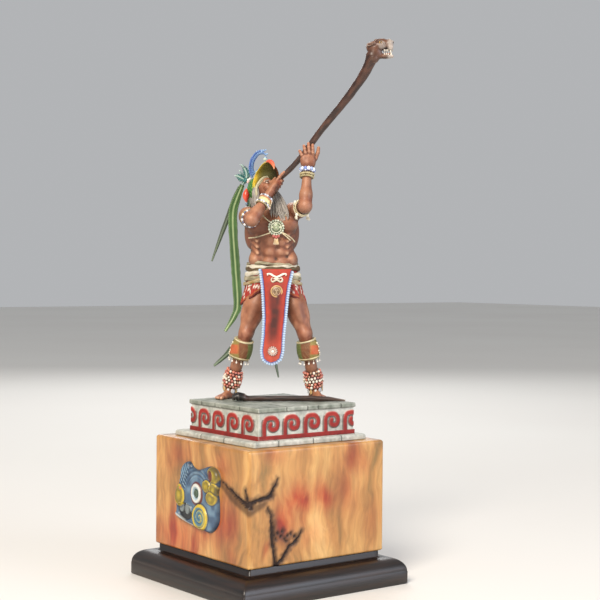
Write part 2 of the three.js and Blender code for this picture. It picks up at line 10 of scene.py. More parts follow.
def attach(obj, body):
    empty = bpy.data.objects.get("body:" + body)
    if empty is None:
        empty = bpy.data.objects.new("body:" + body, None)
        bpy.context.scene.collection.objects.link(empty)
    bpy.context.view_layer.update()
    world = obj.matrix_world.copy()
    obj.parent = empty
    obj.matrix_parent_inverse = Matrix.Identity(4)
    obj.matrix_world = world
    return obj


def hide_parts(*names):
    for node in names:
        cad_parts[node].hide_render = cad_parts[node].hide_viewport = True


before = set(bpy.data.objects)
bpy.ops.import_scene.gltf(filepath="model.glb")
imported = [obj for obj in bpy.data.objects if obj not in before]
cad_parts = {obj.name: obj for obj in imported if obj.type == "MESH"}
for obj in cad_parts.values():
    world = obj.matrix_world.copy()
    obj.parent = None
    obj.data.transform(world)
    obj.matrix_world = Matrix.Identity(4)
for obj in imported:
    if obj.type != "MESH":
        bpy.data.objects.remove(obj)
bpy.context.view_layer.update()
print("frame loaded:", len(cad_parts), "solids")

# The figure stands turned on its platform; its own frame faces -Y with the soles at height 0.
stance = {"spot": (4.5, 5.9, 60.0), "turn": math.radians(-37.6)}


def toRow(points):
    # turn about the upright axis, then shift on to the platform
    c, s = math.cos(stance["turn"]), math.sin(stance["turn"])
    x, y, z = np.moveaxis(np.asarray(points, float), -1, 0)
    return np.stack([c * x - s * y, s * x + c * y, z], -1) + stance["spot"]


def unit(vectors):
    length = np.linalg.norm(vectors, axis=-1, keepdims=True)
    return vectors / np.maximum(length, 1e-9)


def linear(colour):
    # sRGB hex to linear light
    value = np.array([int(colour[i:i + 2], 16) for i in (1, 3, 5)]) / 255
    value = np.where(value <= 0.04045, value / 12.92, ((value + 0.055) / 1.055) ** 2.4)
    return np.append(value, 1.0)


def smooth(low, high, value):
    # 0 at low, 1 at high, an S-curve between; low may be the larger
    t = np.clip((value - low) / (high - low), 0, 1)
    return t * t * (3 - 2 * t)


def cloud(points, size, seed=0):
    # Value noise from -1 to 1: random numbers on a lattice of cells of this size, blended
    # with S-curves inside each cell.
    p = np.asarray(points, float) / size
    cell = np.floor(p).astype(np.int64)
    t = p - cell
    t = t * t * (3 - 2 * t)
    total = np.zeros(p.shape[:-1])
    for corner in np.ndindex(2, 2, 2):
        q = cell + corner
        mixed = (q[..., 0] * 73856093) ^ (q[..., 1] * 19349663) ^ (q[..., 2] * 83492791) ^ (seed * 2654435)
        mixed = (mixed ^ (mixed >> 13)) * 1274126177 & 0x7FFFFFFF
        value = ((mixed ^ (mixed >> 16)) & 0xFFFF) / 32767.5 - 1
        weight = np.prod(np.where(np.array(corner) == 1, t, 1 - t), -1)
        total += value * weight
    return total


def path(points, count, closed=False):
    # A smooth line through the points (Catmull-Rom), cut into equal lengths
    p = np.asarray(points, float)
    if len(p) == 2:
        return p[0] + np.linspace(0, 1, count)[:, None] * (p[1] - p[0])
    ends = (p[-1:], p[:2]) if closed else (2 * p[:1] - p[1:2], 2 * p[-1:] - p[-2:-1])
    q = np.concatenate([ends[0], p, ends[1]])
    spans = len(q) - 3
    t = np.linspace(0, spans, spans * 24 + 1)
    i = np.minimum(t.astype(int), spans - 1)
    f = (t - i)[:, None]
    a, b, c, d = q[i], q[i + 1], q[i + 2], q[i + 3]
    fine = 0.5 * (2 * b + (c - a) * f + (2 * a - 5 * b + 4 * c - d) * f**2 + (3 * b - a - 3 * c + d) * f**3)
    run = np.append(0, np.cumsum(np.linalg.norm(np.diff(fine, axis=0), axis=1)))
    want = np.linspace(0, run[-1], count)
    return np.stack([np.interp(want, run, fine[:, k]) for k in range(fine.shape[1])], -1)


def along(values, count):
    # numbers given at equal shares of a line, eased to every ring of it
    fine = path(np.stack([np.linspace(0, 1, len(values)), np.asarray(values, float)], -1), count * 4)
    return np.interp(np.linspace(0, 1, count), fine[:, 0], fine[:, 1])


def gridFaces(rows, columns, wrap=True, caps=True, start=0):
    # quads between rows of points, running round when wrapped, and a fan at each end
    i, k = np.meshgrid(np.arange(rows - 1), np.arange(columns if wrap else columns - 1), indexing="ij")
    k2 = (k + 1) % columns
    quads = np.stack([i * columns + k, i * columns + k2, (i + 1) * columns + k2, (i + 1) * columns + k], -1)
    faces = [quads.reshape(-1, 4) + start]
    if caps:
        ring = np.arange(columns)
        after = (ring + 1) % columns
        top = (rows - 1) * columns
        faces.append(np.stack([np.full(columns, rows * columns), after, ring], -1) + start)
        faces.append(np.stack([np.full(columns, rows * columns + 1), top + ring, top + after], -1) + start)
    return faces


def lathed(rings, **more):
    # a closed body from rings of points (rows, around, 3); "more" holds one value per point
    rings = np.asarray(rings, float)
    rows, columns = rings.shape[:2]
    points = np.concatenate([rings.reshape(-1, 3), rings[:1].mean(1), rings[-1:].mean(1)])
    body = {"points": points, "faces": gridFaces(rows, columns)}
    for key, value in more.items():
        value = np.asarray(value, float)
        if value.ndim and value.shape[:2] == (rows, columns):
            value = value.reshape(rows * columns, *value.shape[2:])
            value = np.concatenate([value, value[:columns].mean(0, keepdims=True),
                                    value[-columns:].mean(0, keepdims=True)])
        body[key] = value
    return body


def frames(line, across):
    # the direction along a line, and two directions square to it, the first nearest to "across"
    along_ = unit(np.gradient(line, axis=0))
    across = np.broadcast_to(np.asarray(across, float), line.shape)
    side = unit(across - (across * along_).sum(-1, keepdims=True) * along_)
    return along_, side, np.cross(along_, side)


def tube(points, wide, deep=None, across=(1, 0, 0), rings=40, around=24, shape=None, **more):
    # Ovals carried along a smooth line. wide and deep are half sizes at equal shares of it;
    # shape(share, angle) may swell each oval by a factor.
    line = path(points, rings)
    wide = along(wide, rings) if np.ndim(wide) else np.full(rings, float(wide))
    deep = wide if deep is None else along(deep, rings) if np.ndim(deep) else np.full(rings, float(deep))
    share, angle = np.meshgrid(np.linspace(0, 1, rings), np.arange(around) * 2 * np.pi / around, indexing="ij")
    swell = np.ones_like(share) if shape is None else shape(share, angle)
    forward, side, up = frames(line, across)
    ring = (line[:, None] + side[:, None] * (wide[:, None] * np.cos(angle) * swell)[..., None]
            + up[:, None] * (deep[:, None] * np.sin(angle) * swell)[..., None])
    return lathed(ring, **more)


def bead(centre, radii, turned=None, rows=9, around=12, **more):
    # a ball stretched along three axes
    radii = np.broadcast_to(np.asarray(radii, float), 3)
    polar, angle = np.meshgrid(np.linspace(0.12, np.pi - 0.12, rows), np.arange(around) * 2 * np.pi / around,
                               indexing="ij")
    ball = np.stack([np.sin(polar) * np.cos(angle), np.sin(polar) * np.sin(angle), -np.cos(polar)], -1) * radii
    if turned is not None:
        ball = ball @ np.asarray(turned, float)
    return lathed(ball + np.asarray(centre, float), **more)


def basis(forward, hint=(0, 0, 1)):
    # three square directions as rows, the last along "forward"
    w = unit(np.asarray(forward, float))
    u = unit(np.cross(np.asarray(hint, float), w))
    return np.stack([u, np.cross(w, u), w])


def together(bodies):
    # one body from several, each value filled in for every point
    keys = set().union(*bodies) - {"points", "faces"}
    whole = {"points": np.concatenate([b["points"] for b in bodies]), "faces": []}
    start = 0
    for b in bodies:
        whole["faces"] += [f + start for f in b["faces"]]
        start += len(b["points"])
    for key in keys:
        width = next(np.shape(b[key])[-1] for b in bodies if key in b) if key == "paint" else 1
        parts = [np.broadcast_to(np.asarray(b.get(key, 0.0), float).reshape(-1, width), (len(b["points"]), width))
                 for b in bodies]
        whole[key] = np.concatenate(parts)
    return whole


def reliefOf(points, faces, passes):
    # How hollow (+) or ridged (-) the surface is: the mean height of a point's neighbours
    # over its own tangent plane, for each square millimetre of their distance, evened out.
    pairs = np.concatenate([np.stack([f, np.roll(f, -1, 1)], -1).reshape(-1, 2) for f in faces])
    pairs = np.concatenate([pairs, pairs[:, ::-1]])
    count = len(points)
    corners = [(points[f[:, 0]], points[f[:, 1]], points[f[:, 2]]) for f in faces]
    normal = np.zeros((count, 3))
    for f, (a, b, c) in zip(faces, corners):
        flat = np.cross(b - a, c - a)
        for k in range(f.shape[1]):
            for axis in range(3):
                normal[:, axis] += np.bincount(f[:, k], flat[:, axis], count)
    normal = unit(normal)
    near = np.bincount(pairs[:, 0], minlength=count) + 1e-9
    step = points[pairs[:, 1]] - points[pairs[:, 0]]
    rise = (step * normal[pairs[:, 0]]).sum(1) / np.maximum((step**2).sum(1), 1e-4)
    value = np.bincount(pairs[:, 0], rise, count) / near
    for _ in range(passes):
        value = 0.4 * value + 0.6 * np.bincount(pairs[:, 0], value[pairs[:, 1]], count) / near
    return value


def makePiece(name, body, material, replaced=(), relief=(3, 1.0), inFigure=False):
    # A mesh object from a body in millimetres: its values become point attributes, and
    # "relief" one more, smoothed over some passes and scaled.
    points = toRow(body["points"]) if inFigure else body["points"]
    faces = [f.astype(np.int32) for f in body["faces"]]
    mesh = bpy.data.meshes.new(name)
    sizes = np.concatenate([np.full(len(f), f.shape[1]) for f in faces])
    mesh.vertices.add(len(points))
    mesh.vertices.foreach_set("co", (points * 0.001).astype(np.float32).ravel())
    mesh.loops.add(int(sizes.sum()))
    mesh.loops.foreach_set("vertex_index", np.concatenate([f.ravel() for f in faces]))
    mesh.polygons.add(len(sizes))
    mesh.polygons.foreach_set("loop_start", np.append(0, np.cumsum(sizes)[:-1]).astype(np.int32))
    mesh.polygons.foreach_set("use_smooth", np.ones(len(sizes), bool))
    mesh.update(calc_edges=True)
    values = {key: v for key, v in body.items() if key not in ("points", "faces")}
    values["relief"] = np.clip(reliefOf(points, faces, relief[0]) * relief[1], -1, 1)
    for key, value in values.items():
        value = np.asarray(value, float)
        if key == "paint":
            attribute = mesh.attributes.new(key, "FLOAT_COLOR", "POINT")
            attribute.data.foreach_set("color", np.broadcast_to(value, (len(points), 4)).astype(np.float32).ravel())
        else:
            attribute = mesh.attributes.new(key, "FLOAT", "POINT")
            attribute.data.foreach_set("value", np.broadcast_to(value.reshape(-1), len(points)).astype(np.float32))
    piece = bpy.data.objects.new(name, mesh)
    bpy.context.scene.collection.objects.link(piece)
    piece.data.materials.append(material)
    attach(piece, "root")
    if replaced:
        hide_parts(*replaced)
    triangles = int((sizes - 2).sum())
    print(f"  {name}: {triangles} triangles")
    return piece


def newMaterial(name):
    material = bpy.data.materials.new(name)
    material.use_nodes = True
    material.node_tree.nodes.clear()
    return material


def add(material, kind, inputs=None, stops=None, **settings):
    # one shader node with its settings, its inputs (values or sockets) and any ramp stops
    tree = material.node_tree
    node = tree.nodes.new("ShaderNode" + kind)
    for key, value in settings.items():
        setattr(node, key, value)
    for key, value in (inputs or {}).items():
        if isinstance(value, bpy.types.NodeSocket):
            tree.links.new(value, node.inputs[key])
        else:
            node.inputs[key].default_value = value
    if stops:
        ramp = node.color_ramp.elements
        while len(ramp) < len(stops):
            ramp.new(0.5)
        for element, (position, colour) in zip(ramp, sorted(stops)):
            element.position = position
            element.color = linear(colour) if isinstance(colour, str) else (colour, colour, colour, 1)
    return node


# Camera, floor and lights
view = {"azimuth": -37.58, "elevation": 1.234, "roll": 0.465, "place": (-274.82, -373.80, 103.85),
        "lens": 82.98, "sensor": 36.0}


def makeCamera():
    # right, up and back directions from azimuth, elevation and roll
    a, e, r = (math.radians(view[key]) for key in ("azimuth", "elevation", "roll"))
    back = np.array([math.sin(a) * math.cos(e), -math.cos(a) * math.cos(e), math.sin(e)])
    level = np.array([math.cos(a), math.sin(a), 0])
    up = np.cross(back, level)
    right = level * math.cos(r) + up * math.sin(r)
    up = -level * math.sin(r) + up * math.cos(r)
    data = bpy.data.cameras.new("camera")
    data.lens, data.sensor_width = view["lens"], view["sensor"]
    data.clip_start, data.clip_end = 0.01, 50
    camera = bpy.data.objects.new("camera", data)
    place = np.eye(4)
    place[:3, 0], place[:3, 1], place[:3, 2] = right, up, back
    place[:3, 3] = np.array(view["place"]) * 0.001
    camera.matrix_world = Matrix(place)
    bpy.context.scene.collection.objects.link(camera)
    bpy.context.scene.camera = camera


studio = {
    "floor": "#E4E1DC", "air": "#E9EBEE", "airStrength": 0.55,
    "lamps": {  # place in metres, size in metres, watts, colour
        "keyLamp": ((-0.62, -0.42, 0.62), 0.38, 9.5, "#FFF4E6"),
        "fillLamp": ((0.35, -0.75, 0.28), 0.55, 3.2, "#EAF0FF"),
        "rimLamp": ((0.42, 0.62, 0.5), 0.5, 2.2, "#FFFFFF"),
    },
}


def makeStudio():
    scene = bpy.context.scene
    scene.view_settings.view_transform = "Standard"
    world = bpy.data.worlds.new("studioAir")
    world.use_nodes = True
    background = world.node_tree.nodes["Background"]
    background.inputs["Color"].default_value = linear(studio["air"])
    background.inputs["Strength"].default_value = studio["airStrength"]
    scene.world = world
    for name, (place, size, watts, colour) in studio["lamps"].items():
        data = bpy.data.lights.new(name, "AREA")
        data.shape, data.size, data.energy = "DISK", size, watts
        data.color = linear(colour)[:3]
        lamp = bpy.data.objects.new(name, data)
        aim = unit(np.array([0, 0, 0.1]) - place)
        rows = basis(-aim)
        turn = np.eye(4)
        turn[:3, :3] = rows.T
        turn[:3, 3] = place
        lamp.matrix_world = Matrix(turn)
        scene.collection.objects.link(lamp)
    # painted board: a wide flat floor, slightly uneven in tone
    half = 3.0
    mesh = bpy.data.meshes.new("floor")
    mesh.from_pydata([(-half, -half, 0), (half, -half, 0), (half, half, 0), (-half, half, 0)], [], [(0, 1, 2, 3)])
    floor = bpy.data.objects.new("floor", mesh)
    scene.collection.objects.link(floor)
    board = newMaterial("matt painted board")
    place = add(board, "TexCoord")
    tone = add(board, "TexNoise", {"Vector": place.outputs["Object"], "Scale": 3.0})
    colour = add(board, "ValToRGB", {"Fac": tone.outputs["Fac"]}, [(0.3, studio["floor"]), (0.7, "#E8E6E1")])
    shader = add(board, "BsdfPrincipled", {"Base Color": colour.outputs["Color"], "Roughness": 0.8})
    add(board, "OutputMaterial", {"Surface": shader.outputs["BSDF"]})
    mesh.materials.append(board)


makeCamera()
makeStudio()
print("camera, floor and lamps placed")


def squareRings(half, corner, height, shift=(0, 0), straight=120, bend=6):
    # Rings of a square with rounded corners, one for each row of the profile: four straight
    # runs and four quarter arcs, anticlockwise from the -Y side.
    half, corner, height = (np.asarray(v, float)[:, None] for v in (half, corner, height))
    corner = np.minimum(corner, half * 0.9)
    run = np.linspace(-1, 1, straight, endpoint=False)[None]
    arc = np.linspace(-np.pi / 2, 0, bend, endpoint=False)[None]
    flat = half - corner
    x = np.concatenate([run * flat, flat + corner * np.cos(arc)], 1)
    y = np.concatenate([-half + 0 * run, -flat + corner * np.sin(arc)], 1)
    sides = []
    for _ in range(4):
        sides.append(np.stack([x, y, height + 0 * x], -1))
        x, y = -y, x
    rings = np.concatenate(sides, 1)
    rings[..., :2] += np.broadcast_to(np.asarray(shift, float), (len(rings), 2))[:, None]
    return rings


def mixed(first, second, share):
    # a share of the way from one paint to another, each a hex colour or an array
    first, second = (linear(c) if isinstance(c, str) else c for c in (first, second))
    return first + (second - first) * np.asarray(share, float)[..., None]


def apart(points, line, width=0.0):
    # distance from points to a broken line, less the line's half width at the nearest place
    line = np.asarray(line, float)
    width = np.broadcast_to(np.asarray(width, float), len(line))
    best = np.full(np.shape(points)[:-1], 1e9)
    for a, b, wa, wb in zip(line[:-1], line[1:], width[:-1], width[1:]):
        t = np.clip(((points - a) @ (b - a)) / max((b - a) @ (b - a), 1e-9), 0, 1)
        reach = np.linalg.norm(points - a - t[..., None] * (b - a), axis=-1) - (wa + t * (wb - wa))
        best = np.minimum(best, reach)
    return best


foot = {"half": 33.5, "edge": 4.25, "ovoloHalf": 28.75, "top": 8.5, "riserHalf": 26.5, "height": 11.0,
        "dark": "#120D0B", "brown": "#2B1C15", "grain": 1.1}


def stainedWood():
    # Close-grained hardwood stained near black under a wiped satin lacquer: a faint brown
    # grain along each moulding and a soft sheen on the round of it.
    material = newMaterial("stained lacquered hardwood")
    place = add(material, "TexCoord").outputs["Object"]
    turned = add(material, "Attribute", attribute_name="turned").outputs["Fac"]
    fine = 1000 / foot["grain"]
    grains = []
    for stretch in ((0.06, 1, 1), (1, 0.06, 1)):
        mapped = add(material, "Mapping", {"Vector": place, "Scale": stretch})
        grains.append(add(material, "TexNoise", {"Vector": mapped.outputs["Vector"], "Scale": fine, "Detail": 4.0}))
    grain = add(material, "Mix", {0: turned, 2: grains[0].outputs["Fac"], 3: grains[1].outputs["Fac"]})
    colour = add(material, "ValToRGB", {"Fac": grain.outputs[0]}, [(0.38, foot["dark"]), (0.72, foot["brown"])])
    bump = add(material, "Bump", {"Height": grain.outputs[0], "Strength": 0.25, "Distance": 0.0001})
    rough = add(material, "MapRange", {"Value": grain.outputs[0], "To Min": 0.28, "To Max": 0.45})
    shader = add(material, "BsdfPrincipled", {"Base Color": colour.outputs["Color"], "Normal": bump.outputs["Normal"],
                                              "Roughness": rough.outputs["Result"], "IOR": 1.5, "Coat Weight": 0.25,
                                              "Coat Roughness": 0.3})
    add(material, "OutputMaterial", {"Surface": shader.outputs["BSDF"]})
    return material


def makeFoot():
    # flat underside, square edge, a quarter-round up to the shelf and a low riser, as half
    # widths and heights; every edge is eased by a small radius
    bow = np.linspace(0, np.pi / 2, 16)
    ease = 0.35
    half = np.concatenate([[0.5, 20, foot["half"] - ease], np.full(3, foot["half"]),
                           foot["ovoloHalf"] + (foot["half"] - foot["ovoloHalf"]) * np.cos(bow) - 0.1,
                           [foot["riserHalf"] + 0.5, foot["riserHalf"], foot["riserHalf"], foot["riserHalf"] - ease,
                            14, 0.5]])
    height = np.concatenate([[0, 0, 0, ease, 2, foot["edge"] - 0.2],
                             foot["edge"] + (foot["top"] - foot["edge"]) * np.sin(bow),
                             [foot["top"], foot["top"] + 0.4, foot["height"] - ease, foot["height"],
                              foot["height"], foot["height"]]])
    rings = squareRings(half, np.full(len(half), 0.7), height, straight=40)
    turned = np.repeat([0, 1, 0, 1], rings.shape[1] // 4)
    body = lathed(rings, turned=np.broadcast_to(turned, rings.shape[:2]))
    makePiece("woodenFoot", body, stainedWood(), ["wooden_foot"])


block = {
    "half": 27.5, "bottom": 11.0, "top": 47.75, "round": 0.9, "pitch": 0.45,
    # bark cracks: points on the faces with their half width
    "cracks": [
        ([(-27.5, -10.5, 37.6), (-27.5, -14.6, 35.8), (-27.5, -18.7, 33.9), (-27.5, -22.6, 32.2), (-27.5, -27.3, 30.4),
          (-26.4, -27.5, 30.2)], (0.05, 0.15, 0.4, 0.6, 0.9, 0.5)),
        ([(-27.4, -27.5, 31.4), (-25.4, -27.5, 31.8), (-23, -27.5, 32.6), (-20.6, -27.5, 32.6), (-18.7, -27.5, 33.4),
          (-18.4, -27.5, 35.2), (-16.6, -27.5, 38.4)], (0.8, 0.7, 0.5, 0.35, 0.5, 0.45, 0.1)),
        ([(-27.5, -25.2, 35.4), (-27.5, -26.3, 32.6)], (0.3, 0.6)),
        ([(-20.5, -27.5, 29.6), (-18.8, -27.5, 26.6), (-18.4, -27.5, 23.4), (-18.3, -27.5, 18.2), (-17.6, -27.5, 15.2),
          (-17.3, -27.5, 11.2)], (0.1, 0.25, 0.55, 0.6, 0.35, 0.7)),
        ([(-16.6, -27.5, 11.2), (-14.5, -27.5, 13), (-11.6, -27.5, 16.4), (-9, -27.5, 18.3), (-7, -27.5, 21.2)],
         (0.7, 0.5, 0.4, 0.45, 0.15)),
    ],
    "crumbs": [(-16.4, 21.4), (-15, 20.2), (-13.6, 19.4), (-12.2, 20), (-11, 20.6), (-14.4, 21.8), (-9.6, 19.6),
               (-17, 19.6), (-12.8, 18.6)],
    # red heartwood stain: middle, reach along the face and up it, and strength
    "stains": [
        ((-27.5, 12, 15), 16, 9, 1.1), ((-27.5, -2, 20), 9, 7, 0.95), ((-27.5, -14, 24), 7, 8, 0.8),
        ((-27.5, -12, 40), 6, 6, 0.55), ((-27.5, 14, 42), 10, 6, 0.5), ((-27.5, -17, 14), 4, 5, 0.45),
        ((-12.5, -27.5, 25.5), 5.5, 8, 0.9), ((-8, -27.5, 31), 6, 5, 1.0), ((1.5, -27.5, 30.5), 5, 5, 0.95),
        ((10, -27.5, 33), 5, 9, 0.5), ((13.5, -27.5, 42), 5, 6, 0.65), ((-2, -27.5, 19), 6, 5, 0.55),
        ((-21, -27.5, 18), 1.5, 3.5, 0.7), ((-18, -27.5, 46), 4, 3, 0.4), ((22, -27.5, 22), 4, 7, 0.3),
        ((27.5, -10, 20), 10, 8, 0.8), ((27.5, 12, 36), 8, 7, 0.6), ((-6, 27.5, 18), 12, 6, 0.9),
        ((14, 27.5, 38), 7, 6, 0.5), ((0, 0, 47.75), 30, 4, 0.15),
    ],
    "yellow": "#D7A765", "tan": "#B98449", "olive": "#8A6B3B", "red": "#B0441D", "ember": "#8E2A12",
    "bark": "#2A1810", "grain": 1.3, "figure": 9.0,
}


def polishedBurl():
    # Box-elder burl, sanded and oiled to a low gloss: warm tan wood with soft upright figure,
    # red stain running through it, and dark bark left in the cracks.
    material = newMaterial("oiled box elder burl")
    place = add(material, "TexCoord").outputs["Object"]
    bend = add(material, "TexNoise", {"Vector": place, "Scale": 60.0, "Detail": 2.0})
    shift = add(material, "VectorMath", {0: bend.outputs["Color"], 1: (0.008, 0.008, 0.012)}, operation="MULTIPLY")
    warped = add(material, "VectorMath", {0: place, 1: shift.outputs["Vector"]}, operation="ADD")
    broad = add(material, "Mapping", {"Vector": warped.outputs["Vector"], "Scale": (1, 1, 0.28)})
    narrow = add(material, "Mapping", {"Vector": warped.outputs["Vector"], "Scale": (1, 1, 0.07)})
    figure = add(material, "TexNoise", {"Vector": broad.outputs["Vector"], "Scale": 1000 / block["figure"],
                                        "Detail": 5.0, "Distortion": 0.6})
    grain = add(material, "TexNoise", {"Vector": narrow.outputs["Vector"], "Scale": 1000 / block["grain"],
                                       "Detail": 3.0})
    wood = add(material, "ValToRGB", {"Fac": figure.outputs["Fac"]},
               [(0.3, block["olive"]), (0.44, block["tan"]), (0.62, block["yellow"]), (0.75, "#E3B878")])
    stainTone = add(material, "ValToRGB", {"Fac": figure.outputs["Fac"]},
                    [(0.35, block["ember"]), (0.5, block["red"]), (0.7, "#CC6C35")])
    stain = add(material, "Attribute", attribute_name="stain").outputs["Fac"]
    uneven = add(material, "MapRange", {"Value": figure.outputs["Fac"], "From Min": 0.35, "From Max": 0.65,
                                        "To Min": 1.25, "To Max": 0.65})
    share = add(material, "Math", {0: stain, 1: uneven.outputs["Result"]}, operation="MULTIPLY", use_clamp=True)
    coloured = add(material, "Mix", {0: share.outputs[0], 6: wood.outputs["Color"], 7: stainTone.outputs["Color"]},
                   data_type="RGBA")
    streak = add(material, "ValToRGB", {"Fac": grain.outputs["Fac"]}, [(0.3, 0.5), (0.62, 1.0)])
    streaked = add(material, "Mix", {0: 0.5, 6: coloured.outputs[2], 7: streak.outputs["Color"]},
                   data_type="RGBA", blend_type="MULTIPLY")
    bark = add(material, "Attribute", attribute_name="bark").outputs["Fac"]
    finished = add(material, "Mix", {0: bark, 6: streaked.outputs[2], 7: tuple(linear(block["bark"]))},
                   data_type="RGBA")
    rough = add(material, "MapRange", {"Value": bark, "To Min": 0.32, "To Max": 0.8})
    bump = add(material, "Bump", {"Height": grain.outputs["Fac"], "Strength": 0.12, "Distance": 0.0001})
    shader = add(material, "BsdfPrincipled", {"Base Color": finished.outputs[2], "Roughness": rough.outputs["Result"],
                                              "Normal": bump.outputs["Normal"], "IOR": 1.5, "Coat Weight": 0.15,
                                              "Coat Roughness": 0.2})
    add(material, "OutputMaterial", {"Surface": shader.outputs["BSDF"]})
    return material


def makeBlock():
    # a square block with eased edges; cracks are pushed in from its faces
    r, low, high = block["round"], block["bottom"], block["top"]
    bow = np.linspace(0, np.pi / 2, 6)
    upright = np.arange(low + 0.3, high - r, block["pitch"])
    half = np.concatenate([[0.5, 14, block["half"] - 0.3], np.full(len(upright), block["half"]),
                           block["half"] - r + r * np.cos(bow), [26, 25, 23.5, 20, 14, 7, 0.5]])
    height = np.concatenate([[low, low, low], upright, high - r + r * np.sin(bow), np.full(7, high)])
    rings = squareRings(half, np.full(len(half), 1.0), height, straight=118, bend=5)
    jitter = np.stack([cloud(rings, 1.1, seed) for seed in (1, 2, 3)], -1) * 0.35
    reach = np.full(rings.shape[:2], 9.0)
    for line, width in block["cracks"]:
        reach = np.minimum(reach, apart(rings + jitter, line, width))
    for x, z in block["crumbs"]:
        reach = np.minimum(reach, np.linalg.norm(rings + jitter - (x, -block["half"], z), axis=-1) - 0.35)
    inside = smooth(0.2, -0.3, reach)
    stain = np.zeros(rings.shape[:2])
    drift = rings + np.stack([cloud(rings * (1, 1, 0.4), 5.0, seed) for seed in (4, 5, 6)], -1) * 3.0
    for middle, wide, tall, strength in block["stains"]:
        d = (drift - middle) / (wide, wide, tall)
        stain = np.maximum(stain, strength * np.exp(-(d**2).sum(-1)))
    bark = np.clip(inside + 0.75 * smooth(1.6, 0.1, reach + 0.5 * cloud(rings, 0.9, 7)), 0, 1)
    shadow = apart(drift * 0.4 + rings * 0.6, [(-27.5, -11, 35.5), (-27.5, -20, 31.5), (-27.5, -27.5, 29.2),
                                               (-22, -27.5, 31)], (0.4, 1.3, 1.8, 0.8))
    bark = np.maximum(bark, 0.72 * smooth(1.0, -0.6, shadow))
    outward = unit(rings * (1, 1, 0) * (np.abs(rings) > 26.3))
    rings = rings - outward * (0.75 * inside)[..., None]
    body = lathed(rings, stain=stain, bark=bark)
    makePiece("burlBlock", body, polishedBurl(), ["burl_block"])


platform = {
    "slabHalf": 23.1, "slabLow": 47.75, "slabFace": 48.9, "slabTop": 49.6, "slabShift": (0.3, -0.2),
    "boxHalf": 19.5, "boxShift": (0.8, -0.6), "bandTop": 51.0, "friezeTop": 58.5, "copingHalf": 20.1, "top": 60.0,
    "relief": 0.4,
    # one scroll of the fret, from the foot of its stem: up, over, down, and curled back in
    "scroll": [(0.95, 50.6), (0.9, 53.2), (0.95, 55.0), (1.6, 56.35), (3.2, 56.75), (4.9, 56.55), (5.95, 55.5),
               (6.15, 54.3), (5.7, 53.3), (4.7, 52.95), (3.7, 53.15), (3.15, 53.9), (3.45, 54.75)],
    "bandHalf": 0.8, "pitch": 8.3, "starts": ((1.1, 0), (1.1, 0), (1.1, 0), (-3.6, 0)), "count": 5,
    "slabJoints": {0: (-13.2, 0.8, 12.6), 1: (-12, 3, 14), 2: (-15, -2, 9), 3: (-7.2, 6.1)},
    "copingJoints": {0: (-8.6, -0.2, 4.2, 13.8), 1: (-11, 2.5, 12), 2: (-13, -3, 8.5), 3: (-12.5, -4.6, 9.5)},
    "paving": [((-20, -6.5), (20, -7.6)), ((-20, 7.4), (20, 6.6)), ((-8.6, -20), (-7.8, -7)), ((4.2, -20), (4.8, -7.4)),
               ((-3, -7), (-2.4, 7)), ((10.4, -7.2), (9.8, 6.8)), ((-13, -6.6), (-12.6, 7.2)), ((-9, 7), (-8.6, 20)),
               ((3.4, 7), (3.2, 20)), ((12.6, 6.8), (13, 20))],
    "stone": "#8D9388", "mossy": "#5F675A", "pale": "#C6C9BF", "lime": "#D6D7CE", "joint": "#2C2E29",
    "red": "#A92A22", "brick": "#7E1D18", "rose": "#C65A4C",
}


def acrylic(name, washAndShade="#20140E", light="#F4E6D2", washAndShadeDepth=0.8, lightDepth=0.3, gloss=0.55, grain=0.3,
            tone=0.16, coat=0.0):
    # Hobby acrylics brushed over a resin casting: thin matt colour in uneven strokes, a dark
    # wash left in the hollows that is also painted shade there, pale dry-brushing on the ridges
    # that is also a painted highlight, and a fine primer grain.
    material = newMaterial(name)
    paint = add(material, "Attribute", attribute_name="paint").outputs["Color"]
    relief = add(material, "Attribute", attribute_name="relief").outputs["Fac"]
    place = add(material, "TexCoord").outputs["Object"]
    strokes = add(material, "TexNoise", {"Vector": place, "Scale": 700.0, "Detail": 3.0, "Roughness": 0.6})
    uneven = add(material, "ValToRGB", {"Fac": strokes.outputs["Fac"]}, [(0.3, 1 - 2 * tone), (0.7, 1.0)])
    brushed = add(material, "Mix", {0: 1.0, 6: paint, 7: uneven.outputs["Color"]}, data_type="RGBA",
                  blend_type="MULTIPLY")
    # painted shade: the dark wash deepens where the surface is hollow
    hollow = add(material, "MapRange", {"Value": relief, "From Min": 0.05, "From Max": 0.75, "To Max": washAndShadeDepth})
    washedAndShaded = add(material, "Mix", {0: hollow.outputs["Result"], 6: brushed.outputs[2], 7: tuple(linear(washAndShade))},
                 data_type="RGBA")
    # painted highlight: pale dry-brushing where the surface is ridged
    ridge = add(material, "MapRange", {"Value": relief, "From Min": -0.1, "From Max": -0.8, "To Max": lightDepth})
    lit = add(material, "Mix", {0: ridge.outputs["Result"], 6: washedAndShaded.outputs[2], 7: tuple(linear(light))},
              data_type="RGBA")
    primer = add(material, "TexNoise", {"Vector": place, "Scale": 1000 / grain, "Detail": 2.0})
    bump = add(material, "Bump", {"Height": primer.outputs["Fac"], "Strength": 0.3, "Distance": 0.00006})
    rough = add(material, "MapRange", {"Value": strokes.outputs["Fac"], "To Min": gloss - 0.08, "To Max": gloss + 0.1})
    shader = add(material, "BsdfPrincipled", {"Base Color": lit.outputs[2], "Roughness": rough.outputs["Result"],
                                              "Normal": bump.outputs["Normal"], "IOR": 1.48, "Coat Weight": coat,
                                              "Coat Roughness": 0.25})
    add(material, "OutputMaterial", {"Surface": shader.outputs["BSDF"]})
    return material


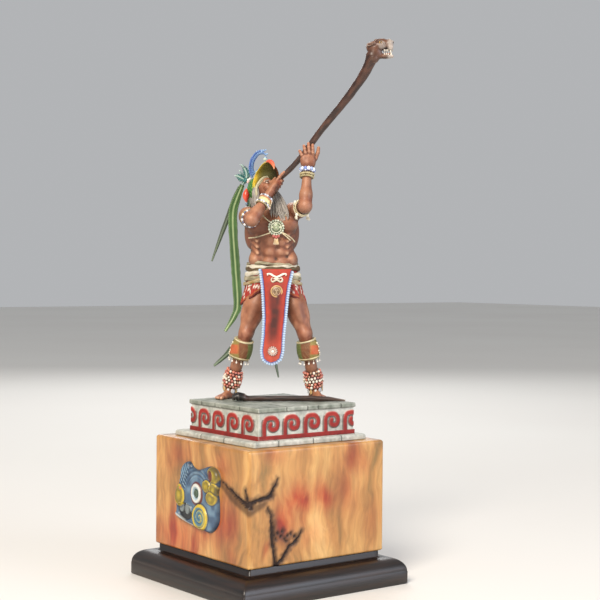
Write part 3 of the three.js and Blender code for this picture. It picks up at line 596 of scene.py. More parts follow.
def makePlatform():
    # One profile from the slab's underside up the frieze and coping to the middle of the top;
    # scrolls stand out of the frieze by their distance from a curling line.
    p = platform
    frieze = np.arange(p["bandTop"] + 0.15, p["friezeTop"] - 0.05, 0.21)
    bow = np.linspace(0, np.pi / 2, 5)
    slabBow = 0.7 * np.stack([np.cos(bow), np.sin(bow)])
    band = p["boxHalf"] + p["relief"]
    half = np.concatenate([[0.5, 12, 22.6], np.full(4, p["slabHalf"]), p["slabHalf"] - 0.7 + slabBow[0],
                           [21.6, 20.8, band + 0.15], np.full(5, band), np.full(len(frieze), p["boxHalf"]),
                           [p["copingHalf"] - 0.25], np.full(4, p["copingHalf"]),
                           p["copingHalf"] - 0.35 + 0.35 * np.cos(bow), np.linspace(19.2, 0.5, 34)])
    height = np.concatenate([np.full(3, p["slabLow"]), np.linspace(47.95, p["slabFace"] - 0.1, 4),
                             p["slabFace"] + slabBow[1], np.full(3, p["slabTop"]),
                             np.linspace(p["slabTop"] + 0.05, p["bandTop"], 5), frieze, [p["friezeTop"]],
                             np.linspace(p["friezeTop"] + 0.1, p["top"] - 0.4, 4), p["top"] - 0.35 + 0.35 * np.sin(bow),
                             np.full(34, p["top"])])
    upper = smooth(p["slabTop"] - 0.01, p["slabTop"] + 0.01, height)[:, None]
    shift = np.array(p["slabShift"]) * (1 - upper) + np.array(p["boxShift"]) * upper
    corner = np.where(height < p["slabTop"] + 0.02, 0.8, 0.35)
    rings = squareRings(half, corner, height, shift, straight=150, bend=5)
    rows, around = rings.shape[:2]
    local = rings - np.stack([shift[:, 0], shift[:, 1], 0 * shift[:, 0]], -1)[:, None]
    side = np.repeat(np.arange(4), around // 4)
    # distance along each side from its left end, seen from outside
    runs = np.stack([local[..., 0], local[..., 1], -local[..., 0], -local[..., 1]])
    across = np.take_along_axis(runs, np.broadcast_to(side, (1, rows, around)), 0)[0]
    line = path(p["scroll"], 70)
    reach = np.full((rows, around), 9.0)
    tall = rings[..., 2]
    near = (tall > p["slabTop"] + 0.02) & (tall < p["friezeTop"] - 0.02)
    for which, (start, _) in enumerate(p["starts"]):
        for i in range(p["count"]):
            s0 = start - p["boxHalf"] + i * p["pitch"]
            pick = near & (side[None] == which) & (across > s0 - 1) & (across < s0 + 8)
            flat = np.stack([across[pick] - s0, tall[pick]], -1)
            reach[pick] = np.minimum(reach[pick], apart(flat, line, p["bandHalf"]))
    inBand = (tall > p["slabTop"] + 0.02) & (tall < p["bandTop"] + 0.1)
    reach = np.where(inBand, -0.5, reach)
    raised = smooth(0.18, -0.22, reach) * near
    facing = np.array([(0, -1, 0), (1, 0, 0), (0, 1, 0), (-1, 0, 0)], float)[side]
    outward = np.broadcast_to(facing, rings.shape)
    lift = p["relief"] * raised * (~inBand)
    # joints between stones, cut as fine grooves
    joint = np.full((rows, around), 9.0)
    for which in range(4):
        for zone, places in (((p["slabLow"], p["slabTop"] + 0.01), p["slabJoints"][which]),
                             ((p["friezeTop"] - 0.01, p["top"] + 0.01), p["copingJoints"][which])):
            inZone = (tall >= zone[0]) & (tall <= zone[1]) & (side[None] == which) & (half[:, None] > 18)
            for place in places:
                near2 = np.abs(across - place + 0.12 * cloud(rings, 0.8, 9)) - 0.1
                joint = np.where(inZone, np.minimum(joint, near2), joint)
    onTop = (tall > p["top"] - 0.05) & (half[:, None] < p["copingHalf"])
    flat = local[..., :2] + 0.25 * np.stack([cloud(rings, 1.5, 10), cloud(rings, 1.5, 11)], -1)
    for a, b in p["paving"]:
        joint = np.where(onTop, np.minimum(joint, apart(flat, [a, b], 0.12)), joint)
    groove = smooth(0.22, -0.05, joint)
    worn = 0.07 * cloud(rings, 1.5, 12) + 0.04 * cloud(rings, 0.6, 13)
    edge = ((tall > p["friezeTop"] - 0.1) & (tall < p["top"] - 0.02)) | (tall < p["slabTop"])
    lift = lift + np.where(near, 0.3 * worn, worn - 0.1) * (half[:, None] > 18) - 0.28 * groove * edge
    sunk = onTop * (-0.22 * groove + 0.7 * worn - 0.05)
    sunk[-30:] = np.minimum(sunk[-30:], 0)
    moved = rings + outward * lift[..., None]
    moved[..., 2] += sunk + 0.5 * worn * ((tall > p["slabFace"]) & (tall < p["slabTop"] + 0.01))
    moved[..., 2] = np.clip(moved[..., 2], p["slabLow"], p["top"])
    # paint: grey-green stone above, pale stone on frieze and slab, red scrolls and band
    mottle = 0.5 + 0.5 * cloud(rings, 2.6, 14) + 0.35 * cloud(rings, 0.9, 15)
    stone = mixed(p["mossy"], p["pale"], np.clip(mottle * 0.8, 0, 1))
    stone = mixed(stone, p["stone"], np.full((rows, around), 0.35))
    pale = mixed("#A9ADA4", p["lime"], np.clip(mottle, 0, 1))
    # painted shade and highlight: the red darkens toward the foot of the frieze and turns rose on each scroll's upper
    # arch
    red = mixed(p["brick"], p["red"], np.clip(0.35 + 0.4 * mottle + 0.3 * (tall - 53) / 4, 0, 1))
    red = mixed(red, p["rose"], 0.5 * smooth(-0.5, -0.1, reach) * (tall > 55) + 0 * tall)
    low = (tall < p["slabTop"] + 0.02)[..., None]
    walls = ((tall > p["slabTop"]) & (tall < p["friezeTop"] - 0.02))[..., None]
    paint = np.where(low | walls, pale, stone)
    paint = np.where(walls, mixed(paint, red, raised), paint)
    # painted shade: a dark line round the scrolls' edges, left off their upper arches
    paint = mixed(paint, "#3A1712", 0.75 * smooth(0.32, 0.08, np.abs(reach - 0.12)) * near * (tall < 56.2))
    paint = mixed(paint, p["joint"], 0.9 * groove)
    # painted shadow: the top of the frieze darkens in the joint colour just under the coping's overhang
    paint = mixed(paint, p["joint"], 0.6 * smooth(p["friezeTop"] - 0.35, p["friezeTop"], tall) * (
        tall < p["friezeTop"] + 0.05))
    body = lathed(moved, paint=paint)
    material = acrylic("painted cast stone", washAndShade="#23241F", light="#E8EAE0", washAndShadeDepth=0.7, lightDepth=0.35,
                       gloss=0.7, tone=0.14, grain=0.45)
    makePiece("stonePlatform", body, material, ["stone_platform"], relief=(3, 0.5))


makeFoot()
makeBlock()
makePlatform()
print("foot, block and platform made")


badge = {
    "spot": (0.6, 30.1), "thick": 1.25, "size": (25.0, 21.6),
    "outline": [(-0.26, 0.49), (-0.18, 0.5), (-0.1, 0.43), (0.02, 0.41), (0.26, 0.49), (0.4, 0.48), (0.49, 0.4),
                (0.5, 0.24), (0.47, 0.12), (0.49, -0.02), (0.48, -0.32), (0.32, -0.49), (0.12, -0.48), (-0.02, -0.46),
                (-0.26, -0.42), (-0.48, -0.36), (-0.49, -0.22), (-0.5, -0.04), (-0.45, 0.12), (-0.39, 0.22), (-0.35, 0.4)],
    "slate": "#3F5A78", "deep": "#1B2A40", "sky": "#8FB2C8", "yellow": "#D6B92F", "mustard": "#8E7B22", "white": "#DADCD4",
    "green": "#2F4B33", "rust": "#6B2A1E", "cavity": "#1A1D22",
}


def makeBadge():
    # A glyph in low relief: a height over a flat plate, laid out from its middle to the
    # outline; round bosses, a spiral groove and combed lines stand out of it.
    around, rows = 240, 80
    edge = path(badge["outline"], around + 1, closed=True)[:-1] * badge["size"]
    f = np.concatenate([np.linspace(0.01, 0.93, rows), 0.93 + 0.07 * np.sin(np.linspace(0.2, 1.57, 9))])
    p = f[:, None, None] * edge[None]
    rim = apart(p, np.concatenate([edge, edge[:1]]))
    x, y = p[..., 0], p[..., 1]
    height = badge["thick"] * np.sqrt(np.clip(1 - (1 - np.clip(rim / 1.3, 0, 1)) ** 2, 0, 1))
    height = height + 0.05 * cloud(np.stack([x, y, 0 * x], -1), 1.5, 61)

    def oval(cx, cy, rx, ry=None):
        return np.hypot((x - cx) / rx, (y - cy) / (ry or rx))

    tone = mixed(badge["slate"], badge["sky"], np.clip(0.15 + 0.35 * cloud(np.stack([x, y, 0 * x], -1), 2.0, 62), 0, 1))
    # horn with combed lines, and lines along the brow
    comb = np.cos(2 * np.pi * (np.hypot(x - 1.5, y - 13) - 0.15 * x) / 1.25)
    horn = smooth(1.1, 0.8, oval(-6.0, 6.6, 5.0, 5.4)) * smooth(-3.6, -4.6, x - 0.35 * (y - 8))
    height += 0.16 * comb * horn + 0.3 * horn
    tone = mixed(tone, badge["sky"], 0.75 * horn * smooth(0.1, 0.9, comb))
    tone = mixed(tone, badge["deep"], 0.7 * horn * smooth(-0.2, -0.9, comb))
    browComb = np.cos(2 * np.pi * oval(0.8, 1.3, 1.0, 1.0) / 1.35)
    brow = smooth(9.5, 8.6, oval(0.8, 1.3, 1.0)) * smooth(4.6, 5.4, oval(0.8, 1.3, 1.0)) * smooth(1.5, 4, y)
    height += 0.1 * browComb * brow
    tone = mixed(tone, badge["deep"], 0.45 * brow * smooth(-0.1, -0.9, browComb))
    # dark mouth with two grey teeth and a pale lip
    mouth = smooth(1.05, 0.85, oval(-6.4, -5.6, 4.4, 2.9))
    height -= 0.75 * mouth
    tone = mixed(tone, badge["cavity"], mouth)
    for cx, cy, rx, ry in ((-8.6, -4.4, 1.3, 1.7), (-5.4, -4.6, 1.2, 1.9), (-2.7, -4.4, 0.8, 1.2)):
        tooth = smooth(1.1, 0.85, oval(cx, cy, rx, ry))
        height += 0.6 * tooth
        tone = mixed(tone, "#7C8688", tooth)
    lip = smooth(0.35, 0.0, apart(p, [(-12.0, -7.6), (-8.5, -8.9), (-4.5, -9.8), (-0.6, -10.1)], (0.9, 0.8, 0.8, 0.7)))
    height += 0.35 * lip
    tone = mixed(tone, badge["white"], 0.75 * lip)
    # ear lobe, nose curl and cheek lobes in yellow
    for cx, cy, rx, ry, lift in ((-9.6, -0.5, 3.0, 3.7, 0.5), (9.9, 8.2, 3.0, 3.0, 0.6), (6.3, 4.2, 2.5, 2.0, 0.4),
                                 (10.4, 3.5, 2.2, 2.2, 0.45), (8.9, 0.6, 3.0, 2.1, 0.4)):
        d = oval(cx, cy, rx, ry)
        boss = smooth(1.06, 0.8, d)
        height += lift * boss
        tone = mixed(tone, mixed(badge["mustard"], badge["yellow"], smooth(0.75, 0.95, d) + 0.5 * smooth(0.5, 0.1, d)), smooth(1.05, 0.95, d))
        tone = mixed(tone, badge["deep"], 0.6 * smooth(0.16, 0.05, np.abs(d - 1.08)))
    earGroove = np.abs(oval(-9.9, -0.9, 1.0, 1.2) - 1.7)
    height -= 0.2 * smooth(0.3, 0.1, earGroove)
    tone = mixed(tone, badge["mustard"], 0.7 * smooth(0.35, 0.1, earGroove) * (x < -6.8))
    bead_ = smooth(1.1, 0.8, oval(-8.2, 1.9, 0.6))
    height += 0.3 * bead_
    tone = mixed(tone, "#C8792B", bead_)
    nostril = smooth(1.1, 0.85, oval(8.4, 7.7, 1.5, 1.9))
    height -= 0.5 * nostril
    tone = mixed(tone, badge["rust"], nostril)
    # eye: rust outline, white ring, dark pupil
    d = oval(0.8, 1.3, 3.0, 3.3)
    height += 0.65 * smooth(1.12, 0.85, d) - 0.35 * smooth(0.62, 0.5, d) + 0.35 * smooth(0.42, 0.3, d)
    tone = mixed(tone, badge["rust"], smooth(1.32, 1.15, d + 0.02 * (x + y)))
    tone = mixed(tone, badge["white"], smooth(1.0, 0.9, d))
    tone = mixed(tone, badge["sky"], 0.7 * smooth(0.72, 0.62, d))
    tone = mixed(tone, badge["green"], smooth(0.5, 0.42, d))
    # spiral: radius shrinks by one turn's width for each turn
    d, angle = np.hypot(x - 2.8, y + 6.3), np.arctan2(y + 6.3, x - 2.8)
    wind = (d / 1.45 + angle / (2 * np.pi)) % 1
    disc = smooth(4.4, 3.9, d)
    height += 0.6 * disc - 0.3 * smooth(0.2, 0.05, np.minimum(wind, 1 - wind)) * smooth(4.0, 3.6, d)
    whorl = mixed(mixed("#35618A", "#6F9A86", wind), badge["yellow"], 0.6 * smooth(0.55, 0.85, wind))
    tone = mixed(tone, whorl, smooth(4.3, 4.1, d))
    tone = mixed(tone, badge["yellow"], smooth(3.2, 3.45, d) * smooth(4.35, 4.2, d))
    tone = mixed(tone, badge["deep"], 0.65 * smooth(0.35, 0.1, np.abs(d - 4.6)))
    tone = mixed(tone, badge["deep"], 0.55 * smooth(1.2, 0.2, rim))
    height = np.maximum(height, 0.05)
    front = np.stack([-27.5 - height, badge["spot"][0] - x, badge["spot"][1] + y], -1)
    back = front[-1:].repeat(3, 0)
    back[..., 0] = np.array([-27.48, -27.42, -27.4])[:, None]
    back[2, :, 1:] = 0.3 * back[2, :, 1:] + 0.7 * np.array(badge["spot"])
    tone = np.concatenate([tone, np.broadcast_to(linear(badge["deep"]), (3, around, 4))])
    body = lathed(np.concatenate([front, back]), paint=tone)
    material = acrylic("painted cast glyph", washAndShade="#0F1418", light="#E8ECE0", washAndShadeDepth=0.75, lightDepth=0.55, gloss=0.4,
                       tone=0.1, coat=0.25)
    makePiece("glyphBadge", body, material, ["glyph_badge"], relief=(2, 0.35))


makeBadge()
print("badge made")


# Modelling in clay: distances to a surface on a cubic lattice, shapes blended in or cut out,
# and a skin drawn where the distance is nought.
def clay(low, high, step):
    low = np.asarray(low, float)
    count = np.ceil((np.asarray(high, float) - low) / step).astype(int) + 1
    return {"low": low, "step": step, "value": np.full(count, 9.0)}


def model(block, blend, shapes, cut=False):
    # smooth union: the lesser distance, less a quarter of the blend times the square of how
    # near the two are; cutting is the same with the signs turned
    low, step, value = block["low"], block["step"], block["value"]
    for lower, upper, distance in shapes:
        reach = max(blend, 1.0) + 2 * step
        first = np.maximum(np.floor((lower - reach - low) / step).astype(int), 0)
        last = np.minimum(np.ceil((upper + reach - low) / step).astype(int) + 1, value.shape)
        if np.any(last <= first):
            continue
        window = tuple(slice(a, b) for a, b in zip(first, last))
        axes = [low[i] + step * np.arange(first[i], last[i]) for i in range(3)]
        here = distance(np.stack(np.meshgrid(*axes, indexing="ij"), -1))
        old = -value[window] if cut else value[window]
        near = np.clip(1 - np.abs(old - here) / blend, 0, 1)
        new = np.minimum(old, here) - near**2 * blend / 4
        value[window] = -new if cut else new


def cone(a, b, ra, rb=None):
    # a round bar tapering from one radius to the other
    a, b = np.asarray(a, float), np.asarray(b, float)
    rb = ra if rb is None else rb

    def distance(p):
        t = np.clip((p - a) @ (b - a) / max((b - a) @ (b - a), 1e-9), 0, 1)
        return np.linalg.norm(p - a - t[..., None] * (b - a), axis=-1) - (ra + t * (rb - ra))

    return np.minimum(a, b) - max(ra, rb), np.maximum(a, b) + max(ra, rb), distance


def egg(centre, radii, turned=None):
    # an ellipsoid; "turned" holds its three axes as rows
    centre, radii = np.asarray(centre, float), np.broadcast_to(np.asarray(radii, float), 3)
    turned = np.eye(3) if turned is None else turned

    def distance(p):
        q = (p - centre) @ np.asarray(turned).T
        near = np.linalg.norm(q / radii, axis=-1)
        return near * (near - 1) / np.maximum(np.linalg.norm(q / radii**2, axis=-1), 1e-6)

    reach = np.sqrt(((np.asarray(turned).T * radii) ** 2).sum(1))
    return centre - reach, centre + reach, distance


def ovals(rows):
    # ovals one above another: middle x and y, height, half width, half depth
    rows = np.asarray(rows, float)

    def distance(p):
        x, y, wide, deep = (np.interp(p[..., 2], rows[:, 2], rows[:, k]) for k in (0, 1, 3, 4))
        flat = (np.hypot((p[..., 0] - x) / wide, (p[..., 1] - y) / deep) - 1) * np.minimum(wide, deep)
        ends = np.maximum(rows[0, 2] - p[..., 2], p[..., 2] - rows[-1, 2])
        return np.maximum(flat, ends)

    low = (rows[:, :3] - rows[:, [3, 4, 3]] * (1, 1, 0)).min(0)
    return low, (rows[:, :3] + rows[:, [3, 4, 3]] * (1, 1, 0)).max(0), distance


def heights(block, points):
    # the lattice's distance at any points, blended from the eight nearest
    q = (points - block["low"]) / block["step"]
    cell = np.clip(np.floor(q).astype(int), 0, np.array(block["value"].shape) - 2)
    t = q - cell
    total = np.zeros(len(points))
    for corner in np.ndindex(2, 2, 2):
        weight = np.prod(np.where(np.array(corner) == 1, t, 1 - t), -1)
        total += weight * block["value"][tuple((cell + corner).T)]
    return total


def skinOf(block):
    # One point for every cell the surface passes through, at the mean of its edge crossings,
    # then moved on to the surface; quads join the four cells round each crossed edge.
    value, step, low = block["value"], block["step"], block["low"]
    for axis in range(3):
        for edge in (0, -1):
            border = tuple(edge if k == axis else slice(None) for k in range(3))
            value[border] = np.maximum(value[border], 0.5 * step)
    inside = value < 0
    corners = sum(inside[tuple(slice(c, n - 1 + c) for c, n in zip(k, value.shape))].astype(np.int8)
                  for k in np.ndindex(2, 2, 2))
    crossed = (corners > 0) & (corners < 8)
    cells = np.argwhere(crossed)
    number = np.full(crossed.shape, -1)
    number[crossed] = np.arange(len(cells))
    total, count = np.zeros((len(cells), 3)), np.zeros((len(cells), 1))
    faces = []
    for axis in range(3):
        ahead = np.eye(3, dtype=int)[axis]
        u, v = np.eye(3, dtype=int)[(axis + 1) % 3], np.eye(3, dtype=int)[(axis + 2) % 3]
        for offset in (0 * u, u, v, u + v):
            base = cells + offset
            v0, v1 = value[tuple(base.T)], value[tuple((base + ahead).T)]
            hit = ((v0 < 0) != (v1 < 0))[:, None]
            share = (v0 / np.where(v0 == v1, 1, v0 - v1))[:, None]
            total += np.where(hit, base + share * ahead, 0)
            count += hit
        first = inside[tuple(slice(0, n - 1 if k == axis else n) for k, n in enumerate(value.shape))]
        second = inside[tuple(slice(1 if k == axis else 0, n) for k, n in enumerate(value.shape))]
        edges = np.argwhere(first != second)
        outward = first[tuple(edges.T)]
        quads = np.stack([number[tuple((edges - s).T)] for s in (u + v, v, 0 * u, u)], -1)
        quads = np.where(outward[:, None], quads, quads[:, ::-1])
        faces.append(quads)
    points = low + step * total / count
    slopes = None
    for _ in range(2):
        slopes = np.stack([heights(block, points + 0.5 * step * e) - heights(block, points - 0.5 * step * e)
                           for e in np.eye(3)], -1) / step
        move = heights(block, points)[:, None] * slopes / np.maximum((slopes**2).sum(-1, keepdims=True), 0.05)
        points = points - np.clip(move, -0.4 * step, 0.4 * step)
    return {"points": points, "faces": [np.concatenate(faces)]}, unit(slopes)


def between(a, b, t):
    return np.asarray(a, float) + t * (np.asarray(b, float) - np.asarray(a, float))


# The bare body, in the figure's own frame: it faces -Y with its soles at height 0
pose = {
    "legs": {
        "right": {"hip": (-2.7, 0.2, 38.4), "knee": (-7.9, -3, 22.6), "ankle": (-13.3, 0.3, 4), "turn": -34, "girth": 1.04},
        "left": {"hip": (5.9, 0.2, 38.4), "knee": (11.9, -3, 22.6), "ankle": (15.5, 0.3, 4), "turn": 28, "girth": 0.97},
    },
    "arms": {
        "right": {"shoulder": (-7.8, 0.2, 62.1), "elbow": (-5.9, -13.6, 60.4), "wrist": (-1.1, -9.1, 68)},
        "left": {"shoulder": (7.3, 0.2, 63.5), "elbow": (11.7, -13.4, 65), "wrist": (12.3, -10.2, 77.4)},
    },
    "torso": [(1.6, 0.3, 34.4, 2.6, 2.6), (1.6, 0.3, 36.4, 5.2, 4), (1.5, 0.4, 40, 7.0, 5.0), (1.2, 0.3, 44, 7.2, 4.7),
              (0.9, 0, 48.6, 6.9, 4.2), (0.6, 0, 52.6, 7.3, 4.6), (0.4, 0.2, 56.7, 8.2, 5.2), (0.3, 0.3, 60, 8.4, 5.2),
              (0.2, 0.6, 62.9, 7.4, 4.4), (0, 0.9, 65.1, 5, 3.3), (-0.3, 1, 66.5, 2.8, 2.6)],
    "middle": 2.0,
}
skin = {"base": "#7B4933", "light": "#B77D5C", "dark": "#472819", "flush": "#96432F", "grain": 0.25}


def skinTone(points, outward, flush=()):
    # Painted skin: painted shade below and a painted highlight where it faces up and to the
    # front, as the figure's painter shaded it and as the light falls there; mottled, and
    # redder at knees, knuckles and toes.
    lit = outward @ unit(np.array([-0.35, -0.5, 0.8]))
    # painted shade and highlight by how the skin faces the light
    tone = mixed(skin["dark"], skin["base"], smooth(-0.9, 0.35, lit + 0.12 * cloud(points, 2.2, 21)))
    tone = mixed(tone, skin["light"], 0.75 * smooth(0.3, 1.0, lit + 0.15 * cloud(points, 1.1, 22)))
    for place, radius in flush:
        near = np.linalg.norm(points - np.asarray(place, float), axis=-1) / radius
        tone = mixed(tone, skin["flush"], 0.45 * np.exp(-near**2))
    return tone


def trunkShapes():
    soft, sharp = [], []
    m = pose["middle"]
    soft += [cone((0.1, 1, 64), (-0.7, 0.7, 67.2), 3.1, 2.7), cone((-0.7, 0.7, 67.2), (-1.6, 0.3, 70), 2.7, 2.6)]
    # chest, back and shoulders
    soft += [egg((-3.9, -3.2, 59.2), (4.3, 2.5, 3.4)), egg((5.0, -3.3, 59.7), (4.4, 2.6, 3.4)),
             egg((-6.6, 2.2, 56.2), (2.3, 3.0, 5.2)), egg((7.4, 2.2, 56.4), (2.3, 3.0, 5.2)),
             egg((-3.9, 4.3, 59.8), (3.0, 1.5, 3.6)), egg((4.7, 4.3, 60.4), (3.0, 1.5, 3.6)),
             egg((-4.0, 2.4, 63.6), (3.8, 2.2, 1.9)), egg((4.2, 2.4, 64.4), (3.6, 2.2, 1.9)),
             egg((-1.4, 3.6, 50), (1.5, 1.6, 6.5)), egg((2.6, 3.6, 50), (1.5, 1.6, 6.5))]
    # flanks above the belt
    soft += [egg((-5.0, -1.0, 47.2), (2.3, 3.4, 2.7)), egg((7.0, -1.0, 47.2), (2.3, 3.4, 2.7))]
    for side in (-1, 1):
        # three rows of belly muscle
        for height, wide, tall in ((52.9, 1.75, 1.55), (49.6, 1.85, 1.6), (46.2, 2.1, 1.9)):
            sharp.append(egg((m + side * wide * 0.95, -3.75, height), (wide * 1.05, 1.2, tall * 1.05)))
        # saw muscle along the ribs
        for step in range(4):
            a = (0.6 + side * (6.9 - 0.25 * step), -1.6, 57.4 - 2.0 * step)
            b = (0.7 + side * (5.3 - 0.1 * step), -3.9, 55.6 - 2.0 * step)
            sharp.append(cone(a, b, 0.7, 0.45))
    return soft, sharp


def armShapes(shoulder, elbow, wrist, side):
    along_ = basis(np.subtract(elbow, shoulder))
    low = basis(np.subtract(wrist, elbow), hint=np.subtract(elbow, shoulder))
    at = lambda t, up=0, out=0: between(shoulder, elbow, t) + (out * side, 0, up)
    on = lambda t: between(elbow, wrist, t)
    soft = [egg(between(shoulder, elbow, 0.03), (3.0, 3.5, 3.2)), cone(at(0.05), at(0.55), 2.6, 2.3),
            cone(at(0.55), elbow, 2.2, 1.8), egg(at(0.48, 0.8), (1.7, 1.9, 4.2), along_),
            egg(at(0.42, -0.9, 0.5), (1.8, 1.9, 4.4), along_), egg(elbow, (1.9, 1.9, 1.9)),
            cone(on(0.0), on(0.3), 1.8, 1.9), cone(on(0.3), on(1.0), 1.9, 1.35)]
    firm = [egg(on(0.24) + low[0] * 0.75, (1.3, 1.5, 4.0), low), egg(on(0.27) - low[0] * 0.8, (1.3, 1.5, 4.2), low),
            egg(on(0.3) - low[1] * 0.6, (1.3, 1.4, 4.2), low), cone(on(0.55) + low[0] * 0.8, on(0.95) + low[0] * 0.5, 0.6, 0.4)]
    return soft, firm


def legShapes(hip, knee, ankle, girth, side):
    down = basis(np.subtract(knee, hip))
    lower = basis(np.subtract(ankle, knee))
    at = lambda t, x=0, y=0: between(hip, knee, t) + (x * side, y, 0)
    on = lambda t, x=0, y=0: between(knee, ankle, t) + (x * side, y, 0)
    g = girth
    soft = [cone(at(-0.1), at(0.42), 4.0 * g, 3.7 * g), cone(at(0.42), at(1), 3.7 * g, 2.35),
            cone(on(0), on(0.3), 2.3, 2.3), cone(on(0.3), on(0.62), 2.3, 1.75), cone(on(0.62), on(1.0), 1.75, 1.5)]
    firm = [egg(at(0.42, 0.2, -1.9), (1.9 * g, 1.9, 6.6), down), egg(at(0.45, 2.1, -0.7), (1.7 * g, 2.2, 6.4), down),
            egg(at(0.62, -1.9, -0.9), (1.5 * g, 1.8, 4.4), down), egg(at(0.84, -1.6, -1.1), (1.15, 1.2, 2.0), down),
            egg(at(0.8, 1.8, -1.0), (1.0, 1.1, 2.4), down), egg(at(0.45, 0, 2.2), (2.4 * g, 1.8, 6.2), down),
            egg(at(1.0, 0.1, -1.75), (1.2, 1.0, 1.35)), cone(on(0.05, 0, -1.9), on(0.18, 0, -1.4), 0.65, 0.6),
            egg(on(0.29, 0.9, 1.2), (1.5, 1.8, 4.0), lower), egg(on(0.31, -0.9, 1.1), (1.4, 1.7, 3.9), lower),
            cone(on(0.2, -0.3, -1.2), on(0.9, 0, -0.9), 0.9, 0.6)]
    return soft, firm


def makeBody():
    block = clay((-20, -17.5, 1.5), (20.5, 9, 79), 0.3)
    model(block, 1.0, [ovals(pose["torso"])])
    soft, sharp = trunkShapes()
    model(block, 1.6, soft)
    for name, arm in pose["arms"].items():
        big, small = armShapes(arm["shoulder"], arm["elbow"], arm["wrist"], -1 if name == "right" else 1)
        model(block, 1.4, big)
        model(block, 0.5, small)
    for name, leg in pose["legs"].items():
        big, small = legShapes(leg["hip"], leg["knee"], leg["ankle"], leg["girth"], -1 if name == "right" else 1)
        model(block, 1.4, big)
        model(block, 0.6, small)
    model(block, 1.0, sharp)
    m = pose["middle"]
    # creases: the middle line, the navel, the rows of the belly, under the chest, collar hollow
    model(block, 0.7, [cone((m, -5.3, 55.2), (m, -5.2, 47.4), 0.25, 0.3), cone((m, -5.5, 47.5), (m, -4.7, 47.4), 0.35),
                       cone((0.7, -5.7, 60.9), (m - 1.2, -5.8, 56.6), 0.35, 0.45), cone((1.4, 5.6, 62), (0.9, 4.9, 46), 0.6),
                       cone((0.2, -3.9, 64.2), (0.2, -3.2, 65.4), 0.6)], cut=True)
    body, outward = skinOf(block)
    knees = [(leg["knee"] + np.array((0, -3, -0.4)), 2.0) for leg in pose["legs"].values()]
    elbows = [(arm["elbow"], 2.4) for arm in pose["arms"].values()]
    body["paint"] = skinTone(body["points"], outward, knees + elbows)
    nipples = np.min([np.linalg.norm(body["points"] - p, axis=-1) for p in ((-5.6, -5.4, 58), (7.4, -5.2, 58.4))], 0)
    body["paint"] = mixed(body["paint"], "#5E2C22", 0.7 * smooth(0.75, 0.4, nipples))
    makePiece("bareBody", body, skinPaint, ["warrior"], relief=(4, 1.5), inFigure=True)


def footBody(ankle, turn, side):
    # side is +1 where the big toe lies to the viewer's right
    angle = math.radians(turn)
    ahead, across = np.array([math.sin(angle), -math.cos(angle)]), np.array([math.cos(angle), math.sin(angle)]) * side

    def at(forward, inner, up):
        return np.append(np.array(ankle[:2]) + ahead * forward + across * inner, up)

    turned = np.stack([np.append(ahead, 0), np.append(across, 0), (0, 0, 1)])
    middle = at(2.6, 0, 3)
    block = clay(middle - (7.2, 7.2, 3.4), middle + (7.2, 7.2, 3.2), 0.18)
    model(block, 0.8, [cone(at(0, 0, 6.5), at(0, 0, 3), 1.5, 1.55), egg(at(-1.5, 0, 1.15), (1.6, 1.35, 1.4), turned),
                       cone(at(0.1, 0.1, 2.5), at(3.8, 0.35, 1.3), 1.5, 0.95), cone(at(-0.6, -0.5, 0.95), at(4.4, -1.2, 0.6), 1.0, 0.7),
                       cone(at(-0.6, 0.5, 1), at(4.7, 1.0, 0.8), 1.0, 0.8), egg(at(4.8, 1.05, 0.8), (1.3, 0.95, 0.8), turned),
                       egg(at(4.5, -0.9, 0.65), (1.3, 1.1, 0.65), turned), egg(at(0.1, 1.45, 3.3), 0.65), egg(at(0.1, -1.45, 3.0), 0.65)])
    toes = []
    for inner, start, end, radius in ((1.25, 5.3, 7.75, 0.6), (0.3, 5.4, 7.7, 0.43), (-0.45, 5.2, 7.3, 0.4),
                                      (-1.1, 4.9, 6.8, 0.37), (-1.7, 4.5, 6.2, 0.35)):
        spread = inner * 1.08 + (0.15 if inner > 1 else 0)
        toes += [cone(at(start, inner, 0.75), at((start + end) / 2, spread, 0.72), radius, radius * 0.92),
                 cone(at((start + end) / 2, spread, 0.7), at(end - radius, spread, 0.48), radius * 0.92, radius)]
    model(block, 0.16, toes)
    tendons = [cone(at(1.4, 0.1 + 0.25 * k, 2.75), at(4.9, 1.1 - 0.7 * k, 1.3 - 0.12 * k), 0.32, 0.24) for k in range(4)]
    model(block, 0.5, tendons)
    block["value"] = np.maximum(block["value"], (0.02 - (block["low"][2] + block["step"]
                                                         * np.arange(block["value"].shape[2])))[None, None])
    body, outward = skinOf(block)
    flush = [(at(6.8, 0.4, 0.6), 2.0), (at(-1.5, 0, 0.8), 1.6)]
    body["paint"] = skinTone(body["points"], outward, flush)
    for inner, end, radius in ((1.5, 7.75, 0.42), (0.32, 7.7, 0.27), (-0.49, 7.3, 0.25), (-1.19, 6.8, 0.22), (-1.84, 6.2, 0.2)):
        near = np.linalg.norm((body["points"] - at(end - 0.35, inner, 0.95)) * (1, 1, 0.6), axis=-1)
        body["paint"] = mixed(body["paint"], "#D9A98C", 0.8 * smooth(radius + 0.12, radius - 0.05, near))
    return body


def handBody(low, high, palm, fingers, cuts, flush, step=0.17):
    block = clay(low, high, step)
    model(block, 0.9, palm)
    model(block, 0.2, [cone(a, b, ra, rb) for line, ra in fingers for a, b, ra, rb in
                       zip(line[:-1], line[1:], ra[:-1], ra[1:])])
    if cuts:
        model(block, 0.25, cuts, cut=True)
    body, outward = skinOf(block)
    body["paint"] = skinTone(body["points"], outward, flush)
    return body


